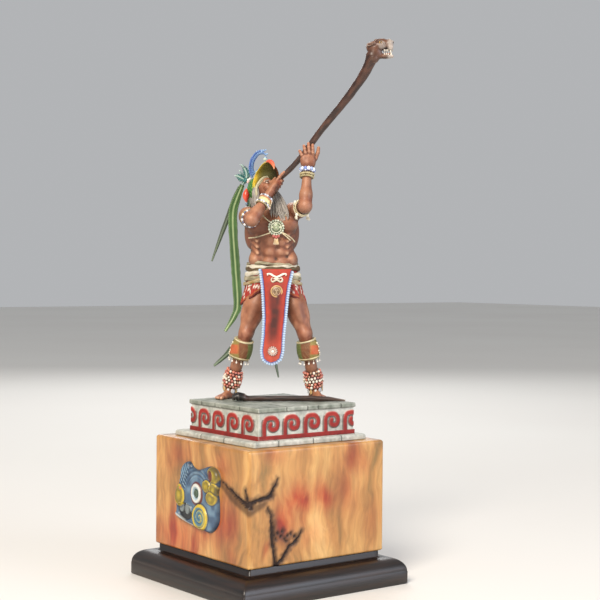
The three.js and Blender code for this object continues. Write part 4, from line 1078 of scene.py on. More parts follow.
def leftHand():
    # the raised hand, open, its fingers up the near side of the trumpet and the thumb beyond
    wrist = (12.3, -10.2, 77.0)
    palm = [cone(wrist, (12.4, -10.2, 79.2), 1.45, 1.45), egg((12.5, -10.2, 80.4), (2.3, 1.15, 2.3)),
            egg((14.0, -10.2, 79.6), (0.95, 1.0, 1.7)), egg((10.9, -10.3, 80.2), (0.85, 0.9, 1.9))]
    fingers = []
    tips = ((9.7, 83.9, 0.85), (11.1, 85.6, 1.0), (12.6, 86.4, 1.0), (14.0, 85.9, 0.95))
    for i, (x, z, bend) in enumerate(tips):
        root = np.array((10.85 + i * 1.1, -10.15, 81.7 - 0.15 * (i - 1.5) ** 2))
        tip = np.array((x, -9.75, z - 0.35))
        fingers.append(([root, between(root, tip, 0.36) + (0, -0.55 * bend, 0), between(root, tip, 0.7) + (0, -0.5 * bend, 0), tip],
                        (0.66, 0.62, 0.56, 0.5)))
    fingers.append(([(13.7, -10, 79.2), (15.0, -9.4, 81.2), (15.8, -8.6, 83.2), (16.0, -7.8, 84.8)], (0.85, 0.76, 0.64, 0.55)))
    flush = [((x, -9.8, z), 1.3) for x, z, _ in tips]
    return handBody((7.5, -13, 75.2), (17.6, -6, 87.4), palm, fingers, [], flush)


def rightHand():
    # the hand at the mouth: fingers wrapped over the tube, the first one laid along it
    wrist = (-1.3, -9.2, 67.7)
    palm = [cone(wrist, (0.2, -8.4, 70), 1.5, 1.5), egg((1.0, -7.4, 71.6), (2.1, 1.4, 2.3), basis((0.55, 0.35, 0.75), (0.8, 0, -0.6))),
            egg((2.0, -6.6, 73.0), (1.7, 1.3, 1.4))]
    fingers = []
    for k, (x, z) in enumerate(((3.4, 73.6), (3.0, 72.6), (2.4, 71.6), (1.7, 70.7))):
        knuckle = np.array((x, -7.0 + 0.05 * k, z))
        fingers.append(([knuckle - (1.4, 0.5, 0.2), knuckle, knuckle + (0.55, 1.3, 0.25), knuckle + (-0.2, 2.3, 0.6)],
                        (0.5, 0.62, 0.55, 0.5)))
    fingers.append(([(1.9, -7.3, 73.4), (3.0, -7.35, 74.9), (3.9, -7.3, 76.0), (4.55, -7.15, 76.7)], (0.62, 0.55, 0.5, 0.42)))
    fingers.append(([(0.3, -7.4, 71.6), (0.5, -6.2, 73.3), (1.5, -5.4, 74.6)], (0.75, 0.62, 0.5)))
    flush = [((3.2, -7.4, 73), 1.6), ((4.4, -7.2, 76.4), 1.0)]
    return handBody((-3.8, -11, 66), (6, -3, 78), palm, fingers, [], flush)


skinPaint = acrylic("acrylic skin tones on resin", washAndShade="#24120B", light="#E9B994", washAndShadeDepth=0.8, lightDepth=0.5,
                    gloss=0.5, tone=0.1, grain=skin["grain"], coat=0.05)
makeBody()
makePiece("rightFoot", footBody(pose["legs"]["right"]["ankle"], -34, 1), skinPaint, ["warrior"],
          relief=(3, 0.7), inFigure=True)
makePiece("leftFoot", footBody(pose["legs"]["left"]["ankle"], 28, -1), skinPaint, ["warrior"],
          relief=(3, 0.7), inFigure=True)
makePiece("raisedHand", leftHand(), skinPaint, ["warrior"], relief=(3, 0.6), inFigure=True)
makePiece("mouthHand", rightHand(), skinPaint, ["warrior"], relief=(3, 0.6), inFigure=True)
print("body, feet and hands made")


# The head is thrown back; a frame of its own holds how far a point is forward, up and to the
# figure's right of its middle.
headAt = np.array((-2.3, -0.2, 71.5))
headForward = unit(np.array((0.5, -0.45, 0.74)))
headRight = unit(np.array((-0.67, -0.74, 0.0)))
headAxes = np.stack([headForward, np.cross(headRight, headForward), headRight])


def onHead(forward, up, right):
    return headAt + np.stack(np.broadcast_arrays(forward, up, right), -1) @ headAxes


face = {"lips": "#8A4438", "white": "#E6DED0", "iris": "#1C120D", "brow": "#8E8A83", "beard": "#B9B6AE"}


def makeFace():
    # a calm, weathered face with puffed cheeks, its lips closed on the mouthpiece
    block = clay(headAt - 7, headAt + 7, 0.15)
    h, a = onHead, headAxes
    model(block, 1.2, [egg(h(-0.5, 0.8, 0), (3.6, 3.6, 3.2), a), egg(h(1.1, -1.2, 0), (2.5, 3.2, 2.5), a),
                       egg(h(1.3, -3.0, 0), (2.2, 1.7, 2.15), a), cone(h(-0.8, -2, 0), (-0.7, 0.7, 67.2), 2.6, 2.7)])
    pairs = [s for s in (-1, 1)]
    model(block, 0.6, [egg(h(2.9, -3.9, 0), (0.9, 0.75, 1.0), a), cone(h(3.05, -0.15, -1.9), h(3.3, 0.05, 0), 0.45, 0.42),
                       cone(h(3.3, 0.05, 0), h(3.05, -0.15, 1.9), 0.42, 0.45), egg(h(2.9, 1.0, 0), (0.9, 1.0, 1.7), a)])
    model(block, 0.7, [egg(h(2.45, -1.65, s * 2.0), (0.95, 0.75, 0.85), a) for s in pairs])
    model(block, 0.7, [egg(h(2.35, -2.75, s * 1.75), (1.15, 1.15, 0.95), a) for s in pairs])
    model(block, 0.5, [egg(h(3.45, -0.8, s * 1.45), (0.75, 0.5, 0.8), a) for s in pairs], cut=True)
    model(block, 0.35, [cone(h(3.35, -0.3, 0), h(4.45, -1.55, 0), 0.34, 0.48)])
    model(block, 0.25, [egg(h(4.0, -1.65, s * 0.5), (0.5, 0.36, 0.36), a) for s in pairs])
    model(block, 0.15, [egg(h(2.88, -0.82, s * 1.42), 0.6, a) for s in pairs])
    model(block, 0.15, [cone(h(3.2, -0.42, s * 0.85), h(3.0, -0.5, s * 2.0), 0.2, 0.16) for s in pairs])
    model(block, 0.12, [cone(h(3.25, -1.22, s * 0.9), h(3.0, -1.15, s * 2.0), 0.15, 0.12) for s in pairs])
    model(block, 0.2, [egg(h(3.85, -2.55, 0), (0.6, 0.28, 0.75), a), egg(h(3.8, -2.95, 0), (0.6, 0.26, 0.65), a)])
    model(block, 0.2, [cone(h(4.2, -2.75, -0.4), h(4.2, -2.75, 0.4), 0.12)], cut=True)
    # moustache and a short beard in combed locks
    locks = [cone(h(3.75, -2.15, s * 0.25), h(2.95, -3.0, s * 1.65), 0.26, 0.12) for s in pairs]
    locks += [cone(h(3.85, -2.3, s * 0.2), h(3.2, -3.3, s * 1.35), 0.2, 0.1) for s in pairs]
    locks += [cone(h(3.3, -3.6, 0.42 * k), h(3.0, -5.0, 0.2 * k), 0.26, 0.1) for k in (-2, -1, 0, 1, 2)]
    model(block, 0.12, locks)
    body, outward = skinOf(block)
    p = body["points"]
    q = (p - headAt) @ headAxes.T
    body["paint"] = skinTone(p, outward, [(h(2.6, -1.6, 2.1), 1.0), (h(2.6, -1.6, -2.1), 1.0), (h(4.4, -1.6, 0), 0.7)])
    lips = smooth(0.62, 0.45, np.linalg.norm((q - (4.2, -2.75, 0)) / (1.0, 0.75, 1.1), axis=-1))
    body["paint"] = mixed(body["paint"], face["lips"], 0.8 * lips)
    side = np.abs(q[:, 2])
    eye = np.linalg.norm((np.stack([q[:, 0], q[:, 1], side], -1) - (3.4, -0.82, 1.42)) / (0.5, 0.3, 0.52), axis=-1)
    body["paint"] = mixed(body["paint"], "#3A1F15", 0.8 * smooth(1.5, 1.1, eye))
    body["paint"] = mixed(body["paint"], face["white"], smooth(1.1, 0.85, eye))
    iris = np.hypot(q[:, 1] + 0.72, side - 1.4)
    body["paint"] = mixed(body["paint"], face["iris"], smooth(0.26, 0.2, iris) * (eye < 1.1))
    hairy = np.min([distance(p) for _, _, distance in locks], 0)
    body["paint"] = mixed(body["paint"], face["beard"], smooth(0.12, 0.02, hairy))
    browLine = np.abs(q[:, 1] - 0.1 + 0.12 * side) + 0.4 * np.maximum(side - 1.9, 0) + 0.4 * np.maximum(0.6 - side, 0)
    body["paint"] = mixed(body["paint"], face["brow"], smooth(0.32, 0.18, browLine) * (q[:, 0] > 2.6))
    makePiece("face", body, skinPaint, ["warrior"], relief=(3, 0.6), inFigure=True)


hood = {
    "middle": (-1.4, 1.0, 0.0), "radii": (4.7, 4.6, 4.3),
    "green": "#2F6B34", "leaf": "#6FA04A", "yellow": "#DDBB2C", "olive": "#6E6A1F", "shade": "#2C2A12",
    "red": "#D8402A", "orange": "#EE7440", "band": "#CFC7A6",
    # the beak's edges and middles from brow to tip, below and above
    "left": [(-6.0, -2.4, 71.4), (-5.75, -2.7, 73.6), (-4.85, -2.5, 76.3), (-2.9, -3.6, 79.2), (-0.9, -4.8, 80.6)],
    "under": [(-1.2, -0.6, 73.6), (-1.2, -0.9, 75.2), (-1.5, -1.2, 77.2), (-1.3, -2.8, 79.2), (-0.8, -4.7, 80.3)],
    "right": [(2.6, 0.4, 73.6), (2.75, -0.6, 75.0), (2.6, -2.2, 76.9), (1.6, -3.8, 78.8), (-0.5, -4.9, 80.4)],
    "over": [(-4.2, 1.6, 74.2), (-4.0, 1.2, 76.0), (-3.1, -0.2, 78.2), (-1.9, -2.4, 80.2), (-0.8, -4.6, 80.95)],
}


def makeHood():
    # Cap: rings about the head's forward axis from the nape to the face opening, then back
    # inside; feathers overlap like scales, each row lying over the next.
    rows, around = 64, 150
    u = np.linspace(0, 1, rows)[:, None]
    phi = np.arange(around)[None] * 2 * np.pi / around
    edge = np.radians(62 + 48 * smooth(-0.2, 1.0, -np.cos(phi)) - 26 * smooth(0.1, 1, np.cos(phi)))
    outer = u < 0.8
    theta = np.where(outer, np.pi - 0.05 - (np.pi - 0.05 - edge) * u / 0.8, edge + (u - 0.8) / 0.2 * 0.8)
    radii = np.array(hood["radii"])
    length = (np.pi - theta) * 4.5
    turns = np.round(2 * np.pi * 4.5 * np.maximum(np.sin(theta), 0.25) / 1.15)
    row = np.floor(length / 0.95)
    across = (phi / (2 * np.pi) * turns + 0.5 * (row % 2)) % 1 - 0.5
    down = length / 0.95 - row
    scale = np.where(down > 0.55 + 0.4 * np.sqrt(np.maximum(0, 1 - (2 * across) ** 2)) - 0.0, 0.0, 1.0)
    lift = np.where(outer, 0.16 * down * scale + 0.05 * (np.abs(across) < 0.06) * scale, -0.5)
    rings = np.stack(np.broadcast_arrays(np.cos(theta) * (radii[0] + lift), np.sin(theta) * np.cos(phi) * (radii[1] + lift),
                                         np.sin(theta) * np.sin(phi) * (radii[2] + lift)), -1) + hood["middle"]
    points = headAt + rings @ headAxes
    tips = smooth(0.45, 0.9, down) * scale
    paint = mixed(hood["green"], hood["leaf"], np.broadcast_to(0.15 + 0.65 * tips, theta.shape))
    yellow = smooth(0.28, 0.08, theta - edge) * outer
    paint = mixed(paint, hood["yellow"], 0.85 * yellow)
    cap = lathed(points, paint=paint)
    # Beak: each ring runs along its hollow underside from edge to edge and back over the top.
    rows = 46
    left, under, right, over = (path(hood[key], rows) for key in ("left", "under", "right", "over"))
    s = np.linspace(0, 1, 26)[None, :, None]
    bow = 4 * s * (1 - s)

    def arc(a, middle, b, flat):
        return (1 - s) * a[:, None] + s * b[:, None] + bow**flat * (middle - (a + b) / 2)[:, None]

    ring = np.concatenate([arc(left, under, right, 0.8)[:, :-1], arc(right, over, left, 1.0)[:, :-1]], 1)
    share = np.linspace(0, 1, rows)[:, None]
    place = np.broadcast_to(np.arange(50)[None], (rows, 50))
    below = place < 25
    t = np.where(below, place / 25.0, 1 - (place - 25) / 25.0)
    ridge = smooth(0.16, 0.05, t) * (1 - 0.3 * share)
    # painted shade: the underside darkens from olive into shade away from the near edge and lightens beside it
    hollow = mixed(hood["olive"], hood["shade"], np.clip(1.15 * t**0.7 - 0.25 * share, 0, 1))
    hollow = mixed(hollow, "#A08A2A", 0.5 * smooth(0.35, 0.1, t))
    back = mixed(hood["green"], hood["yellow"], smooth(0.25, 0.95, share) * 0.9 * np.ones_like(t))
    paint = np.where(below[..., None], hollow, back)
    # yellow paint along the near edge, also a painted highlight
    paint = mixed(paint, hood["yellow"], np.clip(ridge * 1.1, 0, 1))
    paint = mixed(paint, "#8C3A20", 0.7 * smooth(0.88, 0.97, t))
    ring = ring + unit(ring - ring.mean(1, keepdims=True)) * (0.28 * ridge * (share < 0.93))[..., None]
    beak = lathed(ring, paint=paint)
    hook = tube([(-1.5, -4.3, 80.3), (-0.6, -4.9, 80.55), (0.35, -5.5, 80.0), (0.95, -5.9, 78.9), (1.15, -6.0, 77.7)],
                (0.35, 0.62, 0.7, 0.5, 0.12), (0.3, 0.5, 0.5, 0.4, 0.1), (0.7, 0, 0.7), 26, 14)
    hook["paint"] = mixed(hood["red"], hood["orange"], smooth(81, 78, hook["points"][:, 2]))
    makePiece("beakedHood", together([cap, beak, hook]), featherPaint, ["warrior"],
              relief=(2, 0.4), inFigure=True)
    # cream band rolled round the face opening, with a stitched groove
    rim = [onHead(-2.6, -3.2, 3.3), onHead(-1.2, -1.4, 3.95), onHead(0.6, 0.4, 3.6), onHead(2.4, 1.1, 2.7),
           onHead(3.35, 1.55, 1.4), onHead(3.6, 1.7, 0), onHead(3.35, 1.55, -1.4), onHead(2.4, 1.1, -2.7),
           onHead(0.6, 0.4, -3.6), onHead(-1.2, -1.4, -3.95)]
    band = tube(rim, 0.5, 0.42, (0, 0, 1), 90, 14, lambda t, a: 1 - 0.12 * np.cos(3 * a) ** 2)
    inner = tube([p * 0.985 + headAt * 0.015 + (0.1, 0, -0.55) for p in np.array(rim)], 0.3, 0.26, (0, 0, 1), 90, 10)
    band["paint"] = mixed("#9A9070", hood["band"], np.clip(0.6 + 0.5 * cloud(band["points"], 0.8, 31), 0, 1))
    inner["paint"] = mixed("#6E6650", "#B4AA88", np.clip(0.5 + 0.5 * cloud(inner["points"], 0.7, 32), 0, 1))
    makePiece("hoodBand", together([band, inner]), featherPaint, ["warrior"], relief=(2, 0.4),
              inFigure=True)


hair = {"grey": "#8C8680", "pale": "#B8B2AA", "root": "#3E3833", "seed": 5}


def lock(start, end, count, spread, widths, rng, rings=22):
    # strands that follow a line from start to end points, each a little aside, tapering
    strands = []
    start, end = np.asarray(start, float), np.asarray(end, float)
    line = start if start.ndim == 2 else np.stack([start, end])
    across = unit(np.cross(line[-1] - line[0], (0, 1, 0)))
    deep = unit(np.cross(line[-1] - line[0], across))
    for k in range(count):
        side, depth = rng.uniform(-1, 1), rng.uniform(-1, 1)
        share = np.linspace(0, 1, len(line))[:, None]
        width = np.interp(share[:, 0], np.linspace(0, 1, len(spread)), spread)[:, None]
        wave = 0.18 * np.sin(share * rng.uniform(5, 9) + rng.uniform(0, 6.28))
        points = line + across * (side * width + wave) + deep * (depth * width * 0.45 + 0.5 * wave)
        cutOff = rng.uniform(0.82, 1.0)
        points = path(points, 12)[:max(4, int(12 * cutOff))]
        radius = rng.uniform(*widths)
        strand = tube(points, (radius * 0.8, radius, radius, radius * 0.8, radius * 0.15), None, (1, 0, 0.1), rings, 6)
        tone = rng.uniform(0, 1)
        shade = np.clip(np.repeat(np.linspace(0.0, 1, rings), 6), 0, 1)
        shade = np.concatenate([shade, [0, 1]])
        strand["paint"] = mixed(mixed(hair["root"], hair["grey"], smooth(0, 0.25, shade)), hair["pale"], tone * 0.6 * np.ones_like(shade))
        strands.append(strand)
    return strands


def makeHair():
    rng = np.random.default_rng(hair["seed"])
    strands = []
    # beside the cheek on the near side
    strands += lock([(-5.0, -2.6, 72.0), (-5.2, -2.9, 70), (-4.9, -3.1, 67.6), (-4.6, -3.4, 65), (-4.2, -3.8, 62.6)], None,
                    20, (0.7, 1.0, 1.1, 0.9, 0.5), (0.22, 0.36), rng)
    strands += lock([(-5.6, -1.0, 71.4), (-6.0, -1.0, 68.6), (-5.9, -0.9, 66), (-5.7, -0.8, 63.8)], None,
                    14, (0.6, 0.9, 0.9, 0.5), (0.25, 0.38), rng)
    # over the far shoulder and down the chest
    strands += lock([(0.6, -0.9, 71.4), (2.2, -2.2, 69.0), (3.6, -4.0, 65.6), (4.6, -5.6, 62.4), (5.4, -6.5, 59.4)], None,
                    34, (0.7, 1.2, 1.5, 1.5, 0.8), (0.22, 0.36), rng)
    strands += lock([(0.0, -1.8, 69.0), (0.8, -3.4, 66.6), (1.2, -5.0, 63.6), (1.3, -6.0, 60.6)], None,
                    18, (0.8, 1.3, 1.5, 0.9), (0.22, 0.34), rng)
    # down the back
    for x, drop in ((-5.2, 57.5), (-3.6, 55), (-2.0, 53.2), (-0.4, 53.4), (1.2, 55), (2.6, 58)):
        strands += lock([(x * 0.6 - 2.6, 2.0, 71), (x * 0.8 - 1.3, 4.4, 67.6), (x * 0.9 - 0.6, 5.9, 62.5), (x * 0.9, 6.4, 57.6),
                         (x * 0.8, 6.3, drop)], None, 11, (0.8, 1.1, 1.1, 1.0, 0.6), (0.3, 0.5), rng)
    makePiece("longHair", together(strands), hairPaint, ["warrior"], relief=(1, 0.15), inFigure=True)


featherPaint = acrylic("acrylic feather greens on resin", washAndShade="#10180F", light="#E9EFC8", washAndShadeDepth=0.75,
                       lightDepth=0.45, gloss=0.5, tone=0.1)
# grey hair paint whose pale dry-brushing on ridges and dark wash in hollows are also painted highlight and shade
hairPaint = acrylic("dry-brushed grey acrylic", washAndShade="#1B1613", light="#D9D5CE", washAndShadeDepth=0.85, lightDepth=0.35,
                    gloss=0.6, tone=0.12, grain=0.2)
makeFace()
makeHood()
makeHair()
print("head, hood and hair made")


def plume(points, width, across, colours, rows=90, columns=11, thick=0.22, pitch=0.7, lean=1.1, swell=None,
          curl=0.0, ragged=0.06, seed=0):
    # A feather: a thin leaf whose two faces carry a rib and slanting barbs. Its half width
    # follows "swell" along the line, with a few notches where barbs part. Colours are for the
    # hollows, the barbs and the rib and edge.
    line = path(points, rows)
    share = np.linspace(0, 1, rows)
    run = np.linalg.norm(np.diff(line, axis=0), axis=1).sum() * share
    swell = (0.35, 0.9, 1, 1, 1, 0.9, 0.7, 0.25) if swell is None else swell
    half = width / 2 * along(swell, rows)
    notch = 1 - ragged * (1 + cloud(np.stack([run / 1.3, 0 * run + seed, 0 * run], -1), 1.0, 41 + seed)) * smooth(0.1, 0.3, share)
    half = half * notch
    _, side, up = frames(line, across)
    k = np.linspace(-1, 1, columns)[None]
    x = half[:, None] * k
    slant = run[:, None] - lean * np.abs(x)
    barb = 0.5 + 0.5 * np.cos(2 * np.pi * slant / pitch)
    rib = np.exp(-(x / 0.24) ** 2)
    edge = np.sqrt(np.clip(1 - np.abs(k) ** 4, 0, 1)) + 0.05
    height = edge * (thick / 2 + 0.09 * barb * (1 - rib) + 0.14 * rib)
    bend = curl * (x**2)
    top = line[:, None] + side[:, None] * x[..., None] + up[:, None] * (height + bend)[..., None]
    low = line[:, None] + side[:, None] * x[..., None] + up[:, None] * (-height + bend)[..., None]
    rings = np.concatenate([top, low[:, ::-1][:, 1:-1]], 1)
    dark, mid, light = colours
    tone = mixed(dark, mid, np.clip(0.15 + 0.85 * barb + 0.25 * cloud(top, 2.2, 42), 0, 1))
    tone = mixed(tone, light, np.clip(0.75 * rib + 0.4 * barb * smooth(0.55, 1.0, np.abs(k) + 0 * x), 0, 1))
    return lathed(rings[:, ::-1], paint=np.concatenate([tone, tone[:, ::-1][:, 1:-1]], 1)[:, ::-1])


# The outer, low and centre plumes carry darker, greyer copies of the broad plume's greens: painted shade on plumes
# hanging behind the figure.
tail = {
    "outer": ([(-11, 8.2, 72.6), (-12.9, 9.4, 68.4), (-14.8, 10.1, 62.8), (-17.5, 10.3, 55.5), (-20.6, 10.2, 46.7)], 1.9,
              ("#1B241B", "#3B4A38", "#7D8C74"), (0.6, 0.9, 1, 0.85, 0.6, 0.3)),
    "broad": ([(-10, 6.6, 73.2), (-12, 7.4, 68.3), (-13.2, 8.2, 64), (-13.2, 9, 57), (-12.3, 9.8, 44.5),
               (-11.5, 9.6, 32.3), (-12.5, 9.2, 28), (-15.7, 8.4, 22.4)], 3.3, ("#1C3A1C", "#4E7B3C", "#C9DCA6"),
              (0.5, 0.9, 1, 1, 1, 1, 0.95, 0.75, 0.3)),
    "low": ([(-7.6, 7.6, 70), (-7.4, 9.8, 62), (-5.6, 11.6, 50), (-4.6, 12, 38), (-7.4, 11.6, 25), (-13.8, 10.7, 15.8),
             (-19.6, 10, 10.3)], 3.0, ("#1A231A", "#39513A", "#93A68A"), (0.5, 0.9, 1, 1, 1, 0.95, 0.8, 0.3)),
    "centre": ([(-4.6, 7.8, 69), (-3.4, 10, 61), (-0.8, 12, 50), (0.6, 12.6, 38), (0.9, 12.6, 26), (1.3, 11.8, 15),
                (2.9, 10.6, 6.4)], 2.7, ("#171F1A", "#33463A", "#8A9C88"), (0.5, 0.9, 1, 1, 1, 0.9, 0.65, 0.2)),
}


def makeTail():
    for i, (name, (points, width, colours, swell)) in enumerate(tail.items()):
        feather = plume(points, width, (1, 0.1, 0.15), colours, rows=240, columns=15, thick=0.2, pitch=0.85, swell=swell,
                        curl=0.05, seed=i)
        makePiece(f"tailPlume{name.capitalize()}", feather, featherPaint, [f"plume_{name}"],
                  relief=(1, 0.12), inFigure=True)


crest = {
    "curl": [(-6.5, 2.8, 75.6), (-7.3, 2.4, 78.4), (-6.7, 1.9, 81.6), (-4.7, 1.4, 84.1), (-2.5, 0.8, 84.4), (-1.0, 0.4, 83.2)],
    "hollow": (-3.5, 1.2, 80.3), "count": 13,
    "blue": ("#10246B", "#2A5FC4", "#A9D2F2"), "pale": ("#2C5A4A", "#9CC9A0", "#F0F6E4"),
}


def makeCrest():
    # ribbons of plume curl over one another round a hollow; a pale curl rises inside it
    rng = np.random.default_rng(11)
    line, hollow = np.array(crest["curl"]), np.array(crest["hollow"])
    ribbons = []
    for i in range(crest["count"]):
        share = i / (crest["count"] - 1)
        scale = 0.78 + 0.3 * rng.uniform(0, 1) * (0.4 + 0.6 * share)
        deep = -1.5 + 3.4 * share
        points = hollow + (line - hollow) * (scale, 1, scale) + (0, deep * 0.75, 0)
        points = path(points, 24)[: int(24 * rng.uniform(0.62, 1.0))]
        out = unit(points[-1] - hollow)
        points = np.concatenate([points, [points[-1] + out * 0.5 + (0.35, -0.1, 0.1)]])
        across = unit(np.stack([0 * points[:, 0] + 0.35 * rng.uniform(-1, 1), 0 * points[:, 0] - 1, 0 * points[:, 0]], -1)
                      + 0.75 * unit(points - hollow))
        share24 = np.linspace(0, 1, len(points))
        across = np.stack([np.interp(np.linspace(0, 1, 54), share24, across[:, k]) for k in range(3)], -1)
        ribbons.append(plume(points, rng.uniform(1.2, 1.7), across, crest["blue"], rows=54, columns=9, thick=0.16, pitch=0.6,
                             swell=(0.5, 0.8, 1, 1, 0.9, 0.75, 0.3), curl=0.16, ragged=0.14, seed=i))
    for i in range(5):
        start = np.array((-5.9 + 0.25 * i, 2.2 - 0.45 * i, 77.0))
        points = [start, start + (1.2, -0.3, 1.0), (-3.2 + 0.15 * i, 1.5 - 0.35 * i, 79.3), (-1.9 + 0.1 * i, 1.1 - 0.3 * i, 80.8),
                  (-1.6 - 0.1 * i, 0.8 - 0.25 * i, 82.0 - 0.15 * i), (-2.2 - 0.1 * i, 0.7 - 0.2 * i, 82.2 - 0.2 * i)]
        ribbons.append(plume(points, 1.15, (0.4, -1, 0.2), crest["pale"] if i > 1 else crest["blue"], rows=50, columns=9,
                             thick=0.16, pitch=0.55, swell=(0.5, 0.9, 1, 0.9, 0.7, 0.3), curl=0.2, ragged=0.12, seed=20 + i))
    makePiece("blueCrest", together(ribbons), crestPaint, ["blue_crest"], relief=(1, 0.12),
              inFigure=True)


leaves = {
    "knot": (-8.8, 4.4, 74.5), "teal": ("#123A40", "#2F7472", "#CFE6D6"),
    "blades": [
        ([(-8.7, 4.5, 74.6), (-8.5, 4.2, 76.6), (-9.1, 4.0, 78.4), (-10.2, 3.8, 79.7), (-10.9, 3.6, 79.9)], 2.3),
        ([(-8.9, 4.5, 74.5), (-10.2, 4.1, 75.3), (-11.4, 3.9, 75.9), (-12.7, 3.8, 76.1)], 2.7),
        ([(-8.8, 4.8, 74.3), (-9.6, 5.4, 76.2), (-10.5, 6.0, 77.4), (-11.1, 6.4, 78.1)], 2.2),
        ([(-8.6, 4.6, 74.6), (-8.0, 4.5, 76.0), (-7.9, 4.6, 77.6)], 1.6),
        ([(-9.0, 4.6, 74.2), (-9.7, 4.8, 73.6), (-10.3, 5.2, 73.7)], 1.5),
    ],
    "beads": [((-7.3, 3.1, 74.9), 0.5, "#EFEAE0"), ((-7.9, 3.0, 73.9), 0.5, "#E2B9B4"), ((-7.9, 3.2, 74.6), 0.42, "#F2EEE4")],
}


def makeLeaves():
    parts = [plume(points, width, (0.6, 0.1, -0.75), leaves["teal"], rows=50, columns=13, thick=0.2, pitch=0.9, lean=0.9,
                   swell=(0.25, 0.7, 1, 0.95, 0.7, 0.35, 0.05), curl=-0.14, ragged=0.03, seed=60 + i)
             for i, (points, width) in enumerate(leaves["blades"])]
    knot = bead(leaves["knot"], (0.85, 0.8, 0.9), rows=11, around=16)
    knot["paint"] = linear(leaves["teal"][1])
    parts.append(knot)
    for centre, radius, colour in leaves["beads"]:
        small = bead(centre, radius, rows=9, around=12)
        small["paint"] = linear(colour)
        parts.append(small)
    makePiece("leafPlumes", together(parts), crestPaint, ["leaf_plumes"], relief=(1, 0.15),
              inFigure=True)


def makePendant():
    # a spindle-shaped coral bead over a blue glass one, on a thread from the hood
    rows, around = 40, 24
    t = np.linspace(0, 1, rows)
    radius = 1.02 * np.sin(np.pi * np.clip(t, 0.02, 0.98)) ** 0.75 * (1 + 0.12 * np.sin(np.pi * t * 1.0 + 0.4))
    angle = np.arange(around) * 2 * np.pi / around
    x = -8.25 + radius[:, None] * np.cos(angle) - 0.15 * np.sin(np.pi * t)[:, None]
    y = -1.6 + radius[:, None] * np.sin(angle)
    rings = np.stack([x, y, np.broadcast_to((66.7 + 4.8 * t)[:, None], x.shape)], -1)
    coral = lathed(rings)
    # painted light and shade: the coral is lighter on its left side and darker on its right
    coral["paint"] = mixed("#A52A1C", "#E8553A", smooth(0.8, -0.6, coral["points"][:, 0] + 8.3))
    blue = bead((-8.2, -1.6, 66.15), (0.5, 0.5, 0.42))
    blue["paint"] = linear("#3E6E93")
    thread = tube([(-8.2, -1.5, 71.3), (-8.1, -1.3, 71.62)], 0.14, None, (1, 0, 0), 6, 8)
    thread["paint"] = linear("#A9B7BE")
    makePiece("earPendant", together([coral, blue, thread]), beadPaint, ["ear_pendant"], relief=(2, 0.3),
              inFigure=True)


crestPaint = acrylic("layered blue acrylic on resin", washAndShade="#0A1026", light="#DDF0FA", washAndShadeDepth=0.7, lightDepth=0.6,
                     gloss=0.48, tone=0.08)
beadPaint = acrylic("glossed bead enamel on resin", washAndShade="#2A1A12", light="#FFF6E8", washAndShadeDepth=0.8, lightDepth=0.35,
                    gloss=0.32, tone=0.06, coat=0.35)
makeTail()
makeCrest()
makeLeaves()
makePendant()
print("feathers and pendant made")


trumpet = {
    "line": [(1.2, -3.7, 73.2), (6.1, -5, 77.4), (11, -6.7, 82.8), (17.2, -9.3, 91.1), (23.7, -11.8, 98.9),
             (29.4, -14.3, 106.5), (32.2, -15.9, 111.5), (33.3, -16.6, 114.4), (33.9, -16.7, 116.4)],
    "radii": (0.8, 0.95, 1.05, 1.15, 1.33, 1.55, 1.8, 2.15, 1.6),
    "dark": "#2A1711", "brown": "#553222", "fur": "#6F4630", "muzzle": "#B9ADA2", "mouth": "#3A0F10", "tooth": "#E9E2CF",
}


def makeTrumpet():
    # the tube: hand-shaved, so its ovals wander a little and flat facets run along it
    t = trumpet
    line = path(t["line"], 260)
    knots = path(t["line"], 2000)
    stations = [np.linalg.norm(knots - np.array(p), axis=1).argmin() / 1999 for p in t["line"]]
    radius = np.interp(np.linspace(0, 1, 260), stations, t["radii"])
    radius = radius * (1 + 0.28 * np.exp(-((np.linspace(0, 1, 260) - 0.004) / 0.006) ** 2))
    angle = np.arange(32) * 2 * np.pi / 32
    wave = 0.05 * cloud(np.stack([np.linspace(0, 30, 260)[:, None] + 0 * angle, 1.4 * np.cos(angle) + 0 * radius[:, None],
                                  1.4 * np.sin(angle) + 0 * radius[:, None]], -1), 1.0, 51)
    _, side, up = frames(line, (0, 1, 0))
    r = radius[:, None] * (0.98 + wave)
    rings = line[:, None] + side[:, None] * (r * np.cos(angle))[..., None] + up[:, None] * (r * np.sin(angle))[..., None]
    body = lathed(rings)
    p = body["points"]
    streak = cloud(np.stack([p @ unit(np.array((0.6, -0.25, 0.75))) / 9, p[:, 1] * 1.6, p[:, 0] * 0.9 - p[:, 2] * 0.7], -1), 1.0, 52)
    body["paint"] = mixed(t["dark"], t["brown"], np.clip(0.5 + 0.7 * streak, 0, 1))
    makePiece("trumpetTube", body, woodPaint, ["trumpet"], relief=(3, 0.5), inFigure=True)


